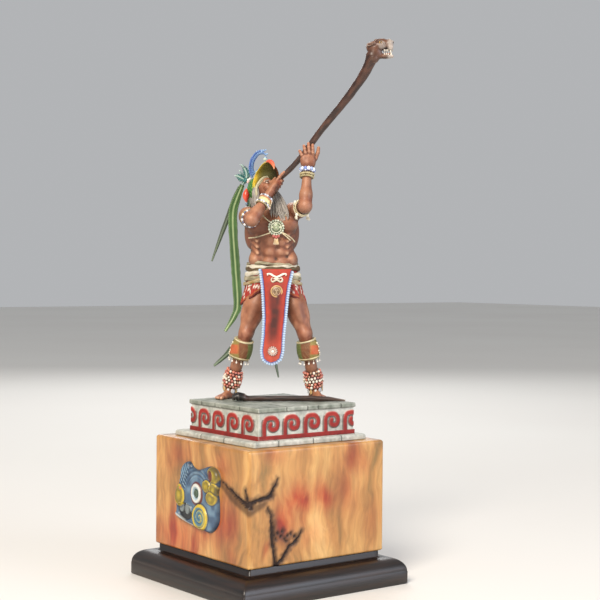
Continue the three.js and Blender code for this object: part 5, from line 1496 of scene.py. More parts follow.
def makeCat():
    t = trumpet
    y = -16.7
    block = clay((29.5, y - 3.6, 111.8), (41.6, y + 3.6, 121.2), 0.13)
    sides = (-1, 1)
    model(block, 0.8, [cone((33.5, y, 113.6), (34.1, y, 116.6), 2.0, 2.1), cone((32.7, y, 116.9), (35.6, y, 117.7), 1.45, 1.95),
                       cone((35.6, y, 117.7), (38.2, y, 118.1), 1.9, 1.6), egg((38.9, y, 117.8), (1.15, 1.55, 1.75)),
                       egg((37.4, y, 114.1), (2.7, 1.45, 0.85)), egg((35, y, 114.9), (1.6, 1.6, 1.5))])
    model(block, 0.4, [egg((39.0, y + s * 0.85, 116.9), (1.05, 0.95, 1.15)) for s in sides])
    model(block, 0.35, [egg((39.6, y, 118.75), (0.7, 0.85, 0.55)), egg((39.6, y, 114.2), (0.7, 1.0, 0.65))])
    model(block, 0.4, [cone((34.2, y + s * 1.3, 119.0), (37.0, y + s * 0.9, 119.35), 0.5, 0.42) for s in sides])
    model(block, 0.3, [cone((33.6, y + s * 1.65, 118.1), (31.7, y + s * 2.2, 117.5), 0.75, 0.5) for s in sides])
    model(block, 0.3, [egg((32.3, y + s * 2.7, 117.6), (0.8, 0.5, 0.4)) for s in sides], cut=True)
    model(block, 0.35, [egg((35.7, y + s * 1.95, 118.45), (0.85, 0.5, 0.42)) for s in sides], cut=True)
    model(block, 0.1, [egg((35.75, y + s * 1.55, 118.4), (0.42, 0.36, 0.34)) for s in sides])
    # the open mouth, its folded corner, and lines across the muzzle
    model(block, 0.45, [egg((39.3, y, 115.35), (3.1, 2.6, 0.62), basis((0.06, 0, 1), (0, 1, 0))),
                        egg((38.4, y, 115.5), (2.0, 1.0, 0.85))], cut=True)
    model(block, 0.2, [egg((40.35, y + s * 0.5, 118.55), (0.5, 0.26, 0.22)) for s in sides], cut=True)
    model(block, 0.25, [cone((37.9 - 0.5 * k, y + s * 1.75, 116.4), (37.3 - 0.5 * k, y + s * 1.6, 118.2), 0.12)
                        for s in sides for k in (0, 1)], cut=True)
    teeth = []
    for s in sides:
        teeth += [cone((39.15, y + s * 0.95, 116.2), (39.0, y + s * 0.95, 114.95), 0.34, 0.08),
                  cone((39.35, y + s * 0.75, 114.5), (39.45, y + s * 0.75, 115.55), 0.3, 0.08)]
        teeth += [cone((38.2 - 0.55 * k, y + s * (1.15 + 0.05 * k), 116.0), (38.2 - 0.55 * k, y + s * (1.1 + 0.05 * k), 115.45),
                       0.22, 0.1) for k in range(3)]
        teeth += [cone((38.4 - 0.6 * k, y + s * (1.0 + 0.05 * k), 114.6), (38.4 - 0.6 * k, y + s * (1.0 + 0.05 * k), 115.15),
                       0.22, 0.1) for k in range(3)]
        teeth += [cone((39.9, y + s * 0.25, 116.05), (39.9, y + s * 0.25, 115.6), 0.17, 0.1)]
    model(block, 0.08, teeth)
    tongue = [egg((38.2, y, 114.85), (1.5, 0.7, 0.35))]
    model(block, 0.2, tongue)
    body, outward = skinOf(block)
    p = body["points"]
    aside = np.abs(p[:, 1] - y)
    dapple = cloud(p, 1.2, 53)
    # dappled fur, with a painted highlight where it faces up
    body["paint"] = mixed(t["dark"], t["fur"], np.clip(0.55 + 0.5 * dapple + 0.35 * outward[:, 2], 0, 1))
    pale = smooth(37.6, 38.9, p[:, 0] + 0.25 * dapple)
    cheek = smooth(1.7, 0.8, np.linalg.norm(np.stack([p[:, 0] - 36.3, 0.5 * (aside - 2), p[:, 2] - 117.6], -1), axis=-1))
    body["paint"] = mixed(body["paint"], t["muzzle"], np.clip(0.85 * pale + 0.5 * cheek, 0, 0.9))
    inner = np.min([distance(p) for _, _, distance in [egg((38.6, y, 115.35), (2.5, 1.5, 0.95))]], 0)
    body["paint"] = mixed(body["paint"], t["mouth"], smooth(0.15, -0.15, inner))
    body["paint"] = mixed(body["paint"], "#9A4A44", smooth(0.1, 0.0, tongue[0][2](p)))
    body["paint"] = mixed(body["paint"], t["tooth"], smooth(0.08, 0.0, np.min([d(p) for _, _, d in teeth], 0)))
    eye = np.linalg.norm((np.stack([p[:, 0], aside, p[:, 2]], -1) - (35.75, 1.6, 118.4)) / (0.45, 0.4, 0.36), axis=-1)
    body["paint"] = mixed(body["paint"], "#1A0D08", smooth(1.5, 1.2, eye))
    body["paint"] = mixed(body["paint"], "#C9973A", smooth(1.15, 1.0, eye))
    body["paint"] = mixed(body["paint"], "#120A06", smooth(0.2, 0.12, np.abs(p[:, 0] - 35.8)) * (eye < 1.2))
    nostril = np.linalg.norm((np.stack([p[:, 0], aside, p[:, 2]], -1) - (40.2, 0.5, 118.5)) / (0.5, 0.32, 0.28), axis=-1)
    body["paint"] = mixed(body["paint"], "#140C0A", smooth(1.25, 0.95, nostril))
    makePiece("catHead", body, woodPaint, ["trumpet"], relief=(3, 0.45), inFigure=True)


def makeClub():
    # hardwood club, knobbed at one end, with knife facets and worn ridges
    rows = 170
    stations = np.array([(-11.7, -12.4, 0.35), (-11.3, -12.3, 1.15), (-10.1, -12.1, 1.55), (-8.6, -11.9, 1.4), (-6.8, -11.6, 0.98),
                         (2, -10.9, 0.98), (12, -10, 0.98), (20, -9.4, 0.8), (25.6, -9, 0.28)])
    line = path(np.stack([stations[:, 0], stations[:, 1], stations[:, 2] + 0.08], -1), rows)
    radius = np.interp(line[:, 0], stations[:, 0], stations[:, 2])
    angle = np.arange(30) * 2 * np.pi / 30
    wave = cloud(np.stack([line[:, :1] * 0.35 + 0 * angle, 1.6 * np.cos(angle) + 0 * radius[:, None],
                           1.6 * np.sin(angle) + 0 * radius[:, None]], -1), 1.0, 54)
    r = radius[:, None] * (0.97 + 0.07 * wave)
    _, side, up = frames(line, (0, 1, 0))
    rings = line[:, None] + side[:, None] * (r * np.cos(angle))[..., None] + up[:, None] * (r * np.sin(angle))[..., None]
    rings[..., 2] = np.maximum(rings[..., 2], 0.06)
    body = lathed(rings)
    p = body["points"]
    streak = cloud(p * (0.3, 1.8, 1.8), 1.0, 55)
    body["paint"] = mixed("#1E1210", "#4A2E24", np.clip(0.45 + 0.6 * streak, 0, 1))
    body["paint"] = mixed(body["paint"], "#15100F", smooth(-7.0, -9.0, p[:, 0]))
    makePiece("warClub", body, woodPaint, ["war_club"], relief=(2, 0.5), inFigure=True)


woodPaint = acrylic("dark brown acrylic with satin varnish", washAndShade="#0E0705", light="#C3B4A6", washAndShadeDepth=0.8, lightDepth=0.5,
                    gloss=0.42, tone=0.14, grain=0.4, coat=0.2)
makeTrumpet()
makeCat()
makeClub()
print("trumpet and club made")


def looped(rings, **more):
    # a body closed both round its rings and from the last ring to the first
    rows, columns = rings.shape[:2]
    i, k = np.meshgrid(np.arange(rows), np.arange(columns), indexing="ij")
    i2, k2 = (i + 1) % rows, (k + 1) % columns
    quads = np.stack([i * columns + k, i * columns + k2, i2 * columns + k2, i2 * columns + k], -1).reshape(-1, 4)
    body = {"points": rings.reshape(-1, 3), "faces": [quads]}
    for key, value in more.items():
        body[key] = np.asarray(value, float).reshape(rows * columns, *np.shape(value)[2:])
    return body


def painted(body, colour, other=None, share=0.0):
    # one paint, or a mixture of two by a share for each point
    body["paint"] = mixed(colour, other or colour, np.broadcast_to(share, len(body["points"])))
    return body


def ringOf(a, b, t, turn=0.0, count=24, radius=3.0, squash=1.0, lean=0.0):
    # places round a limb from a to b at share t, and the outward direction at each
    a, b = np.asarray(a, float), np.asarray(b, float)
    axes = basis(b - a)
    angle = np.arange(count) * 2 * np.pi / count + turn
    out = np.cos(angle)[:, None] * axes[0] + squash * np.sin(angle)[:, None] * axes[1]
    slant = lean * np.cos(angle)[:, None] * axes[2]
    return between(a, b, t) + radius * out + slant, unit(out)


def beadsRound(a, b, t, radius, size, count, colours, turn=0.0, **more):
    places, _ = ringOf(a, b, t, turn, count, radius, **more)
    return [painted(bead(p, size, rows=9, around=10), colours[i % len(colours)]) for i, p in enumerate(places)]


def hoop(a, b, t, radius, wide, thick, colour, other=None, turns=0, around=72, **more):
    # a band round a limb; "turns" twists two strands together
    places, out = ringOf(a, b, t, 0, around, radius, **more)
    forward = unit(np.subtract(b, a))
    angle = np.arange(14) * 2 * np.pi / 14
    phase = np.arange(around)[:, None] * 2 * np.pi * turns / around
    swell = 1 - (0.3 * np.cos(angle + phase) ** 2 if turns else 0 * angle + 0 * phase)
    rings = (places[:, None] + out[:, None] * (thick * np.cos(angle) * swell)[..., None]
             + forward * (wide * np.sin(angle) * swell)[..., None])
    body = looped(rings[:, ::-1])
    return painted(body, colour, other, np.clip(0.5 + 0.6 * cloud(body["points"], 0.9, 71), 0, 1))


waist = {
    "rings": [(46.4, 0.7, 7.9, 5.3), (45.6, 0.7, 8.3, 5.7), (41.5, 0.9, 9.0, 6.4), (37, 1.1, 10, 7.0), (33.5, 1.2, 11, 7.3), (30.4, 1.2, 11.6, 7.4)],
    "apex": 40.6, "middle": 2.2, "slope": 0.76,
    "red": "#A8301F", "crimson": "#7A1C14", "cream": "#D8CDB0", "white": "#E9E4D6", "olive": "#6E6742", "brown": "#5A3A26",
    "ochre": "#B48A3C",
}


def waistAt(z):
    rows = np.array(waist["rings"])[::-1]
    return [np.interp(z, rows[:, 0], rows[:, k]) for k in (1, 2, 3)]


def makeHipCloth():
    # skirt: down the outside from the belt to the hem and up the inside; soft pleats deepen
    # towards a hem that falls from the middle to each hip
    around, rows = 200, 44
    phi = np.arange(around)[:, None] * 2 * np.pi / around
    edgeX = waist["middle"] + 11.2 * np.cos(phi)
    hem = np.maximum(30.6, waist["apex"] - waist["slope"] * np.abs(edgeX - waist["middle"]) * 1.0)
    hem = hem + 0.25 * np.sin(9 * phi) + 0.15 * np.sin(17 * phi + 1)
    v = np.linspace(0, 1, rows)[None]
    z = 44.5 + (hem - 44.5) * v
    mx, wide, deep = waistAt(z)
    pleat = (0.1 + 0.45 * v) * (0.6 * np.sin(14 * phi + 2.2 * np.sin(2 * phi) + 0.8 * v) + 0.4 * np.sin(31 * phi + 1.5 * v))
    flare = pleat + 0.12 * cloud(np.stack([6 * np.cos(phi) + 0 * z, 6 * np.sin(phi) + 0 * z, 0.25 * z], -1), 1.0, 72)
    outer = np.stack([mx + (wide - 0.25 + flare) * np.cos(phi), 0.4 + (deep - 0.25 + flare) * np.sin(phi), z], -1)
    inner = np.stack([mx + (wide - 0.85 + flare) * np.cos(phi), 0.4 + (deep - 0.85 + flare) * np.sin(phi), z + 0.05], -1)
    rings = np.concatenate([outer, inner[:, ::-1]], 1)
    up = z - hem
    run = np.broadcast_to(phi * 9.4, z.shape)
    # red cloth with a pale stepped pattern, an ochre line and a dark rolled hem
    cellX, cellZ = run % 3.1, up
    step = np.where(cellX < 0.75, 3.6, np.where(cellX < 1.5, 2.7, np.where(cellX < 2.3, 1.9, 9)))
    pattern = smooth(0.22, 0.0, np.abs(cellZ - step) - 0.32) * (cellX < 2.3)
    hook = smooth(0.2, 0.0, apart(np.stack([cellX, cellZ], -1), [(0.4, 4.8), (1.9, 4.8), (1.9, 5.9), (0.9, 5.9)], 0.22))
    # painted shade and highlight: the red darkens toward crimson in the pleats' folds and lightens on their crests
    tone = mixed(waist["crimson"], waist["red"], np.clip(0.75 + 0.8 * pleat + 0.2 * cloud(outer, 1.6, 73), 0, 1))
    side = smooth(4.4, 6.4, np.abs(outer[..., 0] - waist["middle"]))
    tone = mixed(tone, waist["white"], 0.9 * np.clip(pattern + hook, 0, 1) * side)
    tone = mixed(tone, waist["ochre"], 0.8 * smooth(0.16, 0.05, np.abs(up - 1.05)))
    tone = mixed(tone, "#571811", 0.85 * smooth(0.85, 0.6, up))
    # painted shade: the inside of the skirt is a darkened copy of its crimson
    innerTone = mixed(waist["crimson"], "#3A0F0B", np.full(z.shape, 0.6))
    paint = np.concatenate([tone, innerTone[:, ::-1]], 1)
    parts = [looped(rings[:, ::-1], paint=paint[:, ::-1])]
    # sash: folded cloth wound round the hips in slanting layers
    layers = ((45.9, 0.55, 0.55, 0.0, waist["olive"], waist["cream"]), (45.0, 0.75, 0.65, 0.25, waist["cream"], waist["white"]),
              (43.9, 0.85, 0.7, -0.5, waist["brown"], waist["olive"]), (42.9, 0.8, 0.7, 0.55, waist["white"], waist["cream"]),
              (41.9, 0.75, 0.6, 0.95, waist["olive"], waist["cream"]), (41.0, 0.6, 0.5, 1.3, waist["cream"], waist["ochre"]))
    angle = np.arange(14)[None] * 2 * np.pi / 14
    for i, (height, tall, thick, sag, colour, other) in enumerate(layers):
        z = height - sag * np.abs(np.cos(phi)) ** 1.5 * 1.3 + 0.3 * np.sin(2 * phi + 2.1 * i)
        mx, wide, deep = waistAt(z)
        fold = 1 + 0.22 * np.sin(5 * phi + i) + 0.12 * np.sin(13 * phi + 2 * i)
        out = 0.05 + thick * fold * np.cos(angle)
        ring = np.stack([mx + (wide + out) * np.cos(phi), 0.4 + (deep + out) * np.sin(phi),
                         z + tall * fold * np.sin(angle) + 0.12 * np.sin(3 * angle + 4 * phi)], -1)
        part = looped(ring)
        thread = cloud(part["points"] * (0.4, 0.4, 3.0), 0.8, 74 + i)
        parts.append(painted(part, colour, other, np.clip(0.45 + 0.6 * thread, 0, 1)))
    makePiece("hipCloth", together(parts), clothPaint, ["warrior"], relief=(2, 0.5), inFigure=True)


apron = {
    # height, middle, depth, half width
    "rows": [(44.2, 2.2, -6.9, 6.15), (43, 2.2, -7.2, 5.85), (38, 2, -8.1, 5), (34, 1.9, -8.5, 4.6), (28, 1.8, -8.8, 4.2),
             (22, 1.4, -9, 4), (16.5, 1, -9.1, 4.15), (14, 0.9, -9.1, 3.6), (12.7, 0.8, -9.1, 2.4), (12.05, 0.8, -9.1, 0.6)],
    "border": 1.15, "red": "#B23A27", "wine": "#4A1B15", "rose": "#C75A44", "light": "#A9CDF0", "blue": "#2C55B5", "navy": "#132A66",
}


def apronAt(z):
    rows = np.array(apron["rows"])[::-1]
    return [np.interp(z, rows[:, 0], rows[:, k]) for k in (1, 2, 3)]


def makeApron():
    rows, columns = 190, 41
    heights_ = path(np.array(apron["rows"])[:, [0, 1, 2]], rows)
    z, mx, my = heights_[:, 0], heights_[:, 1], heights_[:, 2]
    half = np.maximum(apronAt(z)[2] - apron["border"] * 0.8, 0.25)
    k = np.linspace(-1, 1, columns)[None]
    wave = 0.2 * np.sin(2.6 * k + 0.11 * z[:, None]) + 0.12 * np.sin(5.5 * k - 0.16 * z[:, None] + 1)
    x = mx[:, None] + half[:, None] * k
    weave = 0.012 * np.sin(2 * np.pi * x / 0.42) * np.sin(2 * np.pi * z[:, None] / 0.42)
    edge = 0.22 * np.sqrt(np.clip(1 - k**6, 0, 1)) + 0.02
    bow = my[:, None] + 0.35 * k**2 + wave
    front = np.stack([x, bow - edge - weave, z[:, None] + 0 * x], -1)
    back = np.stack([x, bow + edge, z[:, None] + 0 * x], -1)
    rings = np.concatenate([front, back[:, ::-1][:, 1:-1]], 1)
    middle = smooth(0.85, 0.15, np.abs(k)) * smooth(42, 35, z)[:, None] * smooth(15.5, 24, z)[:, None]
    tone = mixed(apron["red"], apron["wine"], np.clip(0.95 * middle + 0.15 * cloud(front, 1.5, 81), 0, 1))
    # painted highlight: the red lightens toward rose at the apron's lower end, less so in its middle
    tone = mixed(tone, apron["rose"], 0.55 * smooth(24, 15, z)[:, None] * (1 - 0.6 * middle))
    tone = np.concatenate([tone, tone[:, ::-1][:, 1:-1]], 1)
    panel = lathed(rings[::-1][:, ::-1], paint=tone[::-1][:, ::-1])
    parts = [panel]
    # border: a blue cord with a scallop of small lobes outside it
    sweep = np.concatenate([np.linspace(44.0, 15.5, 60), 15.5 - 3.35 * np.sin(np.linspace(0.05, np.pi / 2, 22))])
    mx, my, half = apronAt(sweep)
    inset = 0.62
    left = np.stack([mx - np.maximum(half - inset, 0.0), my, sweep + 0.25 * smooth(15, 12, sweep)], -1)
    right = left * (-1, 1, 1) + np.stack([2 * mx, 0 * mx, 0 * mx], -1)
    line = path(np.concatenate([left, right[::-1]])[::2], 84 * 4)
    wobble = 0.35 * (np.abs(line[:, 0] - 1.6) / 5) ** 2
    line[:, 1] += wobble - 0.1
    forward, side, _ = frames(line, (0, -1, 0))
    outward = np.cross(forward, side)
    cord = tube(line - outward * 0.28, 0.3, 0.3, (0, -1, 0), 340, 8)
    parts.append(painted(cord, apron["navy"], apron["blue"], np.clip(0.5 + 0.6 * cloud(cord["points"], 0.6, 82), 0, 1)))
    for i in range(84):
        at = line[i * 4 + 1]
        axes = np.stack([outward[i * 4 + 1], forward[i * 4 + 1], side[i * 4 + 1]])
        lobe = bead(at + outward[i * 4 + 1] * 0.1 + side[i * 4 + 1] * 0.12, (0.56, 0.42, 0.34), axes, rows=9, around=12)
        rel = (lobe["points"] - at) @ axes.T
        lobe["paint"] = mixed(apron["blue"], apron["light"], smooth(-0.05, 0.45, rel[:, 2] + 0.5 * rel[:, 0]))
        pit = bead(at - outward[i * 4 + 1] * 0.05 + side[i * 4 + 1] * 0.34, (0.2, 0.13, 0.12), axes, rows=7, around=8)
        parts += [lobe, painted(pit, apron["navy"])]
    makePiece("apronPanel", together(parts), clothPaint, ["apron"], relief=(2, 0.35), inFigure=True)
    makeApronBadges()


def makeApronBadges():
    # a pale carved bow, a gilt medallion with a ring and a glyph, and a petalled disc
    parts = []
    for points, radius in (
            ([(-0.6, -8.0, 42.0), (-0.9, -8.0, 42.5), (0.2, -8.05, 42.5), (1.2, -8.15, 41.9), (2.3, -8.25, 41.5),
              (3.4, -8.15, 41.9), (4.5, -8.05, 42.5), (5.6, -8.0, 42.5), (5.3, -8.0, 41.9)], 0.36),
            ([(0.9, -8.2, 41.3), (0.5, -8.2, 40.5), (1.1, -8.3, 39.9), (2.3, -8.45, 40.5), (3.6, -8.3, 39.9), (4.3, -8.2, 40.4),
              (3.9, -8.2, 41.2), (3.3, -8.25, 40.8)], 0.33),
            ([(1.2, -8.3, 40.9), (2.3, -8.5, 41.0), (3.3, -8.3, 40.9)], 0.26)):
        part = tube(points, (radius * 0.4, radius, radius, radius, radius * 0.4), radius * 0.8, (0, 0, 1), 60, 10)
        parts.append(painted(part, "#B9AE94", "#EFE8D8", smooth(39.4, 42.4, part["points"][:, 2])))
    centre = np.array((2.35, -8.55, 36.7))
    facing = (centre, centre + (0, 1, 0))
    disc = tube([centre + (0, 0.35, 0), centre - (0, 0.05, 0), centre - (0, 0.18, 0)], (1.9, 1.85, 1.5), None, (1, 0, 0), 8, 48)
    parts.append(painted(disc, "#4A3216", "#7A5522", np.clip(0.5 + 0.5 * cloud(disc["points"], 0.5, 83), 0, 1)))
    parts.append(hoop(*facing, 0.0, 1.82, 0.26, 0.24, "#A67A34", "#CDA050", around=60))
    parts.append(hoop(*facing, -0.12, 1.25, 0.14, 0.12, "#8A6228", "#B98B40", around=48))
    glyph = ((-0.35, 0.4, 0.3, 0.22), (0.38, 0.4, 0.3, 0.22), (0.0, -0.05, 0.2, 0.36), (0.0, -0.6, 0.5, 0.17))
    parts += [painted(bead(centre + (x, -0.26, z), (rx, 0.14, rz)), "#9A7230") for x, z, rx, rz in glyph]
    centre = np.array((1.2, -9.55, 16.7))
    facing = (centre, centre + (0, 1, 0))
    places, out = ringOf(*facing, 0.0, 0, 14, 1.25)
    for p, o in zip(places, out):
        axes = np.stack([o, np.cross(o, (0, 1, 0)), (0, 1, 0)])
        parts.append(painted(bead(p, (0.5, 0.26, 0.2), axes, rows=9, around=10), "#E6B8A6", "#F3E6DC", 0.6))
    disc = tube([centre + (0, 0.3, 0), centre - (0, 0.05, 0)], (0.95, 0.85), None, (1, 0, 0), 5, 30)
    parts.append(painted(disc, "#5C2A1F"))
    parts.append(painted(bead(centre - (0, 0.1, 0.1), (0.55, 0.26, 0.5)), "#EFE6DA"))
    parts.append(hoop(*facing, -0.1, 0.82, 0.12, 0.12, "#C88C78", "#E6C4B4", around=36))
    makePiece("apronOrnaments", together(parts), beadPaint, ["apron"], relief=(2, 0.3), inFigure=True)


def makePectoral():
    # jade disc with a ring of beads and a plain round mask, hung on twisted cords
    parts = []
    c = np.array((2.0, -6.0, 58.1))
    facing = (c, c + (0, 1, 0))
    disc = tube([c + (0, 1.6, 0), c + (0, 0.2, 0), c - (0, 0.15, 0), c - (0, 0.3, 0)], (2.2, 2.35, 2.2, 1.6), None, (1, 0, 0), 12, 52)
    parts.append(painted(disc, "#3F4A38", "#6E7C5C", np.clip(0.5 + 0.6 * cloud(disc["points"], 0.6, 91), 0, 1)))
    places, _ = ringOf(*facing, -0.05, 0.1, 18, 2.42)
    parts += [painted(bead(p, 0.42), "#8FA08A", "#D5DCC6", (i % 3) / 2.5) for i, p in enumerate(places)]
    parts.append(hoop(*facing, -0.3, 1.72, 0.2, 0.18, "#A8B295", "#CBD0B4", around=60))
    for x, z, rx, rz, colour in ((0, 0.1, 1.05, 1.1, "#94A27E"), (-0.48, 0.35, 0.24, 0.17, "#20281C"), (0.48, 0.35, 0.24, 0.17, "#20281C"),
                                 (0, -0.02, 0.2, 0.36, "#B9C4A0"), (0, -0.55, 0.4, 0.13, "#20281C"), (-1.3, 0.1, 0.25, 0.4, "#C9D0B2"),
                                 (1.3, 0.1, 0.25, 0.4, "#C9D0B2"), (0, 1.25, 0.5, 0.22, "#C9D0B2")):
        deep = 0.32 if rx > 1 else 0.2
        parts.append(painted(bead(c + (x, -0.3 - (0.28 if rx < 1 and abs(x) < 1 and z < 1 else 0), z), (rx, deep, rz), rows=11, around=16), colour))
    # cords round the neck, behind the arms and to each side below the chest
    cords = (
        [(0.0, -5.6, 59.9), (-2.0, -5.9, 61.6), (-3.6, -4.6, 63.6), (-4.0, -2.4, 65.6)],
        [(4.0, -5.6, 59.8), (4.9, -5.4, 62.0), (4.6, -3.4, 64.4), (3.6, -1.4, 66.2)],
        [(0.2, -6.3, 56.4), (-2.4, -6.35, 55.5), (-5.0, -5.5, 54.8), (-7.4, -3.4, 54.6)],
        [(3.9, -6.3, 56.5), (5.6, -6.2, 55.7), (7.2, -5.1, 54.6), (8.3, -3.7, 53.4)],
        [(4.1, -6.4, 56.2), (5.6, -6.3, 55.0), (6.8, -5.5, 53.9)],
    )
    for points in cords:
        length = np.linalg.norm(np.diff(points, axis=0), axis=1).sum()
        cord = tube(points, 0.24, 0.24, (0, -1, 0.2), 70, 10, lambda s, a: 1 - 0.3 * np.cos(a + 2 * np.pi * length * 0.9 * s) ** 2)
        parts.append(painted(cord, "#8E7F55", "#D8CCA2", np.clip(0.6 + 0.5 * cloud(cord["points"], 0.5, 92), 0, 1)))
    for x, z, size in ((2.0, 54.9, 0.62), (1.15, 55.25, 0.5), (2.85, 55.25, 0.5)):
        parts.append(painted(bead((x, -6.55, z), size), "#8A1E18", "#C23A2A", 0.5))
    for k in range(9):
        x = 2.0 + 0.13 * (k - 4)
        points = [(x, -6.5, 54.4), (2 + 0.16 * (k - 4), -6.6 + 0.03 * abs(k - 4), 53.3), (2 + 0.24 * (k - 4), -6.5, 52.2 + 0.05 * abs(k - 4))]
        strand = tube(points, (0.13, 0.16, 0.06), None, (1, 0, 0), 10, 6)
        parts.append(painted(strand, "#7A5E2A", "#C9A24E", 0.3 + 0.08 * k))
    makePiece("jadePectoral", together(parts), beadPaint, ["warrior"], relief=(2, 0.3), inFigure=True)


def makeBracelets():
    right, left = pose["arms"]["right"], pose["arms"]["left"]
    e, w = np.array(right["elbow"]), np.array(right["wrist"])
    parts = []
    cuff = tube([between(e, w, 0.7), between(e, w, 0.78), between(e, w, 0.93)], (2.0, 2.15, 2.0), None, (1, 0, 0), 16, 48,
                lambda s, a: 1 + 0.03 * np.cos(12 * a))
    parts.append(painted(cuff, "#B59A55", "#EADFA6", np.clip(0.7 + 0.5 * cloud(cuff["points"], 0.8, 93), 0, 1)))
    for t, radius in ((0.7, 2.15), (0.96, 2.0)):
        parts += beadsRound(e, w, t, radius, 0.42, 15, ("#E9E9EC", "#1F2A52", "#C9D6EE"))
    parts.append(hoop(e, w, 0.9, 2.1, 0.28, 0.26, "#C8803A", "#8E4A22", around=60))
    parts.append(hoop(e, w, 0.66, 2.1, 0.3, 0.25, "#6E6034", "#B7A468", turns=16, around=96))
    string = tube([(0.4, -10.2, 67.4), (0.5, -10.6, 66.0), (-0.2, -10.5, 64.9)], 0.12, None, (1, 0, 0), 16, 6)
    parts.append(painted(string, "#B9A98A"))
    parts += [painted(bead((-0.25, -10.5, 64.4), 0.46), "#E9C9B8"), painted(bead((0.1, -10.6, 65.2), 0.32), "#9A8A5E")]
    s = np.array(right["shoulder"])
    parts.append(hoop(s, e, 0.5, 2.75, 0.85, 0.4, "#B98A3A", "#DDB761", around=72))
    parts.append(hoop(s, e, 0.56, 2.8, 0.2, 0.2, "#7A5A28", "#A88444", around=72))
    parts += beadsRound(s, e, 0.64, 2.75, 0.47, 19, ("#EDEDF2", "#18224A", "#DDE6F4", "#27356E"))
    # left wrist: round beads over a twisted gilt bracelet
    e, w = np.array(left["elbow"]), np.array(left["wrist"])
    parts += beadsRound(e, w, 0.985, 2.2, (0.6, 0.6, 0.72), 13, ("#F1F3F6", "#8FA6D8", "#DCE4F2", "#5E7AC0"))
    parts += beadsRound(e, w, 0.94, 2.15, 0.38, 17, ("#24356E", "#C9D4EC", "#3A519A"))
    parts.append(hoop(e, w, 0.86, 2.2, 0.42, 0.38, "#8A7A4A", "#D6C894", turns=11, around=110))
    parts.append(hoop(e, w, 0.79, 2.15, 0.36, 0.32, "#6E6238", "#B9AA70", turns=-13, around=110))
    # left arm band: two cords with pale knots and tassels
    s = np.array(left["shoulder"])
    parts.append(hoop(s, e, 0.74, 2.75, 0.34, 0.3, "#A3936A", "#E3D9B4", turns=14, around=110))
    parts.append(hoop(s, e, 0.84, 2.65, 0.3, 0.28, "#8C7C54", "#D4C798", turns=-12, around=110))
    for turn in (0.6, 2.5, 4.0, 5.3):
        places, out = ringOf(s, e, 0.79, turn, 1, 3.0)
        p, o = places[0], out[0]
        parts.append(painted(bead(p, (0.62, 0.5, 0.55)), "#D9D4C2", "#F2EEE2", 0.6))
        for k in range(4):
            fall = p + o * (0.3 + 0.1 * k) + (0.25 * (k - 1.5), 0, -0.2)
            strand = tube([p + o * 0.2, fall + (0, -0.1, -0.5), fall + (0, 0, -1.2)], (0.16, 0.2, 0.07), None, (1, 0, 0), 8, 6)
            parts.append(painted(strand, "#B7AE92", "#E6E0CC", 0.2 * k))
    makePiece("armOrnaments", together(parts), beadPaint, ["warrior"], relief=(2, 0.3), inFigure=True)


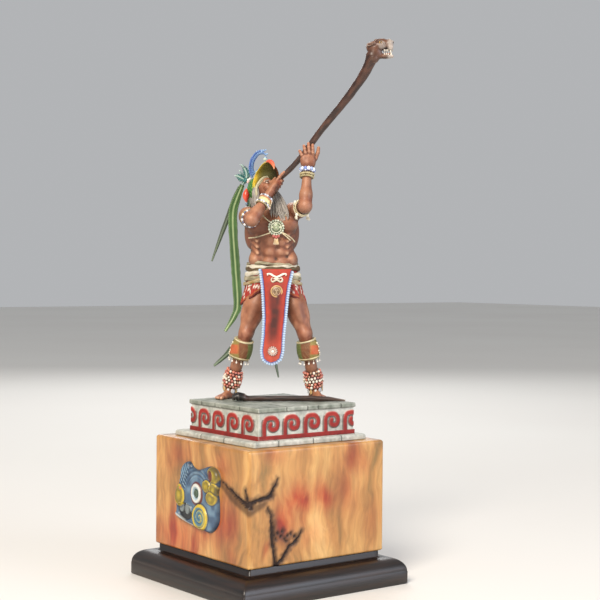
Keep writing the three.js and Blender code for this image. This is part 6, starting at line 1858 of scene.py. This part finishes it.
def makeLegOrnaments():
    rng = np.random.default_rng(3)
    seeds, cloth = [], []
    for name, leg in pose["legs"].items():
        k, a = np.array(leg["knee"], float), np.array(leg["ankle"], float)
        side = -1 if name == "right" else 1
        # gaiter: a stiff sleeve with woven panels between two pale rims
        points = [between(k, a, t) for t in (0.13, 0.2, 0.3, 0.4, 0.47)]
        sleeve = tube(points, (3.15, 3.55, 3.75, 3.7, 3.35), (3.0, 3.4, 3.6, 3.55, 3.2), (1, 0, 0), 44, 84,
                      lambda s, an: 1 + 0.02 * np.cos(28 * an) * (s > 0.1) * (s < 0.9))
        p = sleeve["points"]
        rel = p - between(k, a, 0.3)
        angle = np.arctan2(rel[:, 1], rel[:, 0] * side)
        panel = np.floor((angle + np.pi) / (2 * np.pi) * 7) % 3
        tone = np.where((panel == 0)[:, None], linear("#5E6B34"), np.where((panel == 1)[:, None], linear("#7A4A2C"), linear("#8C7B3E")))
        tone = mixed(tone, "#C8552C", 0.9 * smooth(0.75, 0.35, np.abs(angle + 0.75)) * smooth(1.9, 1.2, np.abs(rel[:, 2])))
        tone = mixed(tone, "#C9BC8E", 0.6 * smooth(0.6, 0.95, np.cos(angle * 28) * np.cos(rel[:, 2] * 7)))
        sleeve["paint"] = tone
        cloth += [sleeve, hoop(k, a, 0.14, 3.1, 0.34, 0.34, "#A89B70", "#E0D6B0", turns=20, around=120, lean=0.25),
                  hoop(k, a, 0.44, 3.45, 0.3, 0.3, "#8E8258", "#D2C79C", turns=22, around=120)]
        drops, out = ringOf(k, a, 0.475, 0.1, 13, 3.35)
        for i, (d, o) in enumerate(zip(drops, out)):
            seeds.append(painted(tube([d, d + o * 0.12 - (0, 0, 0.6)], 0.1, None, (1, 0, 0), 4, 6), "#8E8258"))
            seeds.append(painted(bead(d + o * 0.16 - (0, 0, 0.85 + 0.12 * (i % 2)), (0.3, 0.3, 0.38)), "#D9D6CC", "#F4F2EC", 0.5))
        # tufted knot at the outer side
        for i in range(7):
            q = between(k, a, 0.18 + 0.035 * i) + (side * (3.5 + 0.1 * (i % 3)), -0.9 + 0.35 * (i % 4), 0)
            seeds.append(painted(bead(q, rng.uniform(0.3, 0.45, 3)), "#CFC59E", "#ECE6CE", float(rng.uniform())))
        # rattles: seed pods packed in rows, some pale, with shells hanging below
        core = tube([between(k, a, t) for t in (0.69, 0.75, 0.9, 1.0)], (2.1, 2.7, 2.85, 2.2), None, (1, 0, 0), 16, 30)
        seeds.append(painted(core, "#4A1D12"))
        for row in range(6):
            count = 17
            places, out = ringOf(k, a, 0.71 + 0.052 * row, row * 0.19, count, 2.55 + 0.42 * np.sin(np.pi * (row + 0.7) / 6.5))
            for q, o in zip(places, out):
                chance = rng.uniform()
                colour = "#E8E0CE" if chance < 0.2 else ("#A8331C" if chance < 0.6 else ("#C9552A" if chance < 0.85 else "#8E5A24"))
                axes = basis(o + rng.uniform(-0.35, 0.35, 3))
                seeds.append(painted(bead(q + rng.uniform(-0.14, 0.14, 3), rng.uniform((0.36, 0.4, 0.4), (0.5, 0.6, 0.58)), axes,
                                          rows=8, around=9), colour))
        hang, out = ringOf(k, a, 1.03, 0.35, 9, 2.45)
        for i, (q, o) in enumerate(zip(hang, out)):
            axes = np.stack([np.cross(o, (0, 0, 1)), o, (0, 0, 1)])
            if i % 3 == 0:
                seeds.append(painted(bead(q - (0, 0, 0.35), (0.62, 0.3, 0.95), axes, rows=11, around=14), "#8E6A2E", "#D2B070", 0.7))
            elif i % 3 == 1:
                seeds.append(painted(bead(q - (0, 0, 0.25), (0.8, 0.26, 0.8), axes, rows=11, around=14), "#6E7074", "#C9CBCC", 0.75))
            else:
                seeds.append(painted(bead(q - (0, 0, 0.15), (0.45, 0.4, 0.55), axes), "#B9BBB8", "#E6E6E0", 0.5))
    makePiece("gaiters", together(cloth), clothPaint, ["warrior"], relief=(2, 0.4), inFigure=True)
    makePiece("rattles", together(seeds), beadPaint, ["warrior"], relief=(2, 0.3), inFigure=True)


clothPaint = acrylic("matt acrylic cloth colours on resin", washAndShade="#1C0E09", light="#F0DCC4", washAndShadeDepth=0.75, lightDepth=0.35,
                     gloss=0.62, tone=0.12, grain=0.25)
makeHipCloth()
makeApron()
makePectoral()
makeBracelets()
makeLegOrnaments()
print("cloth and ornaments made")
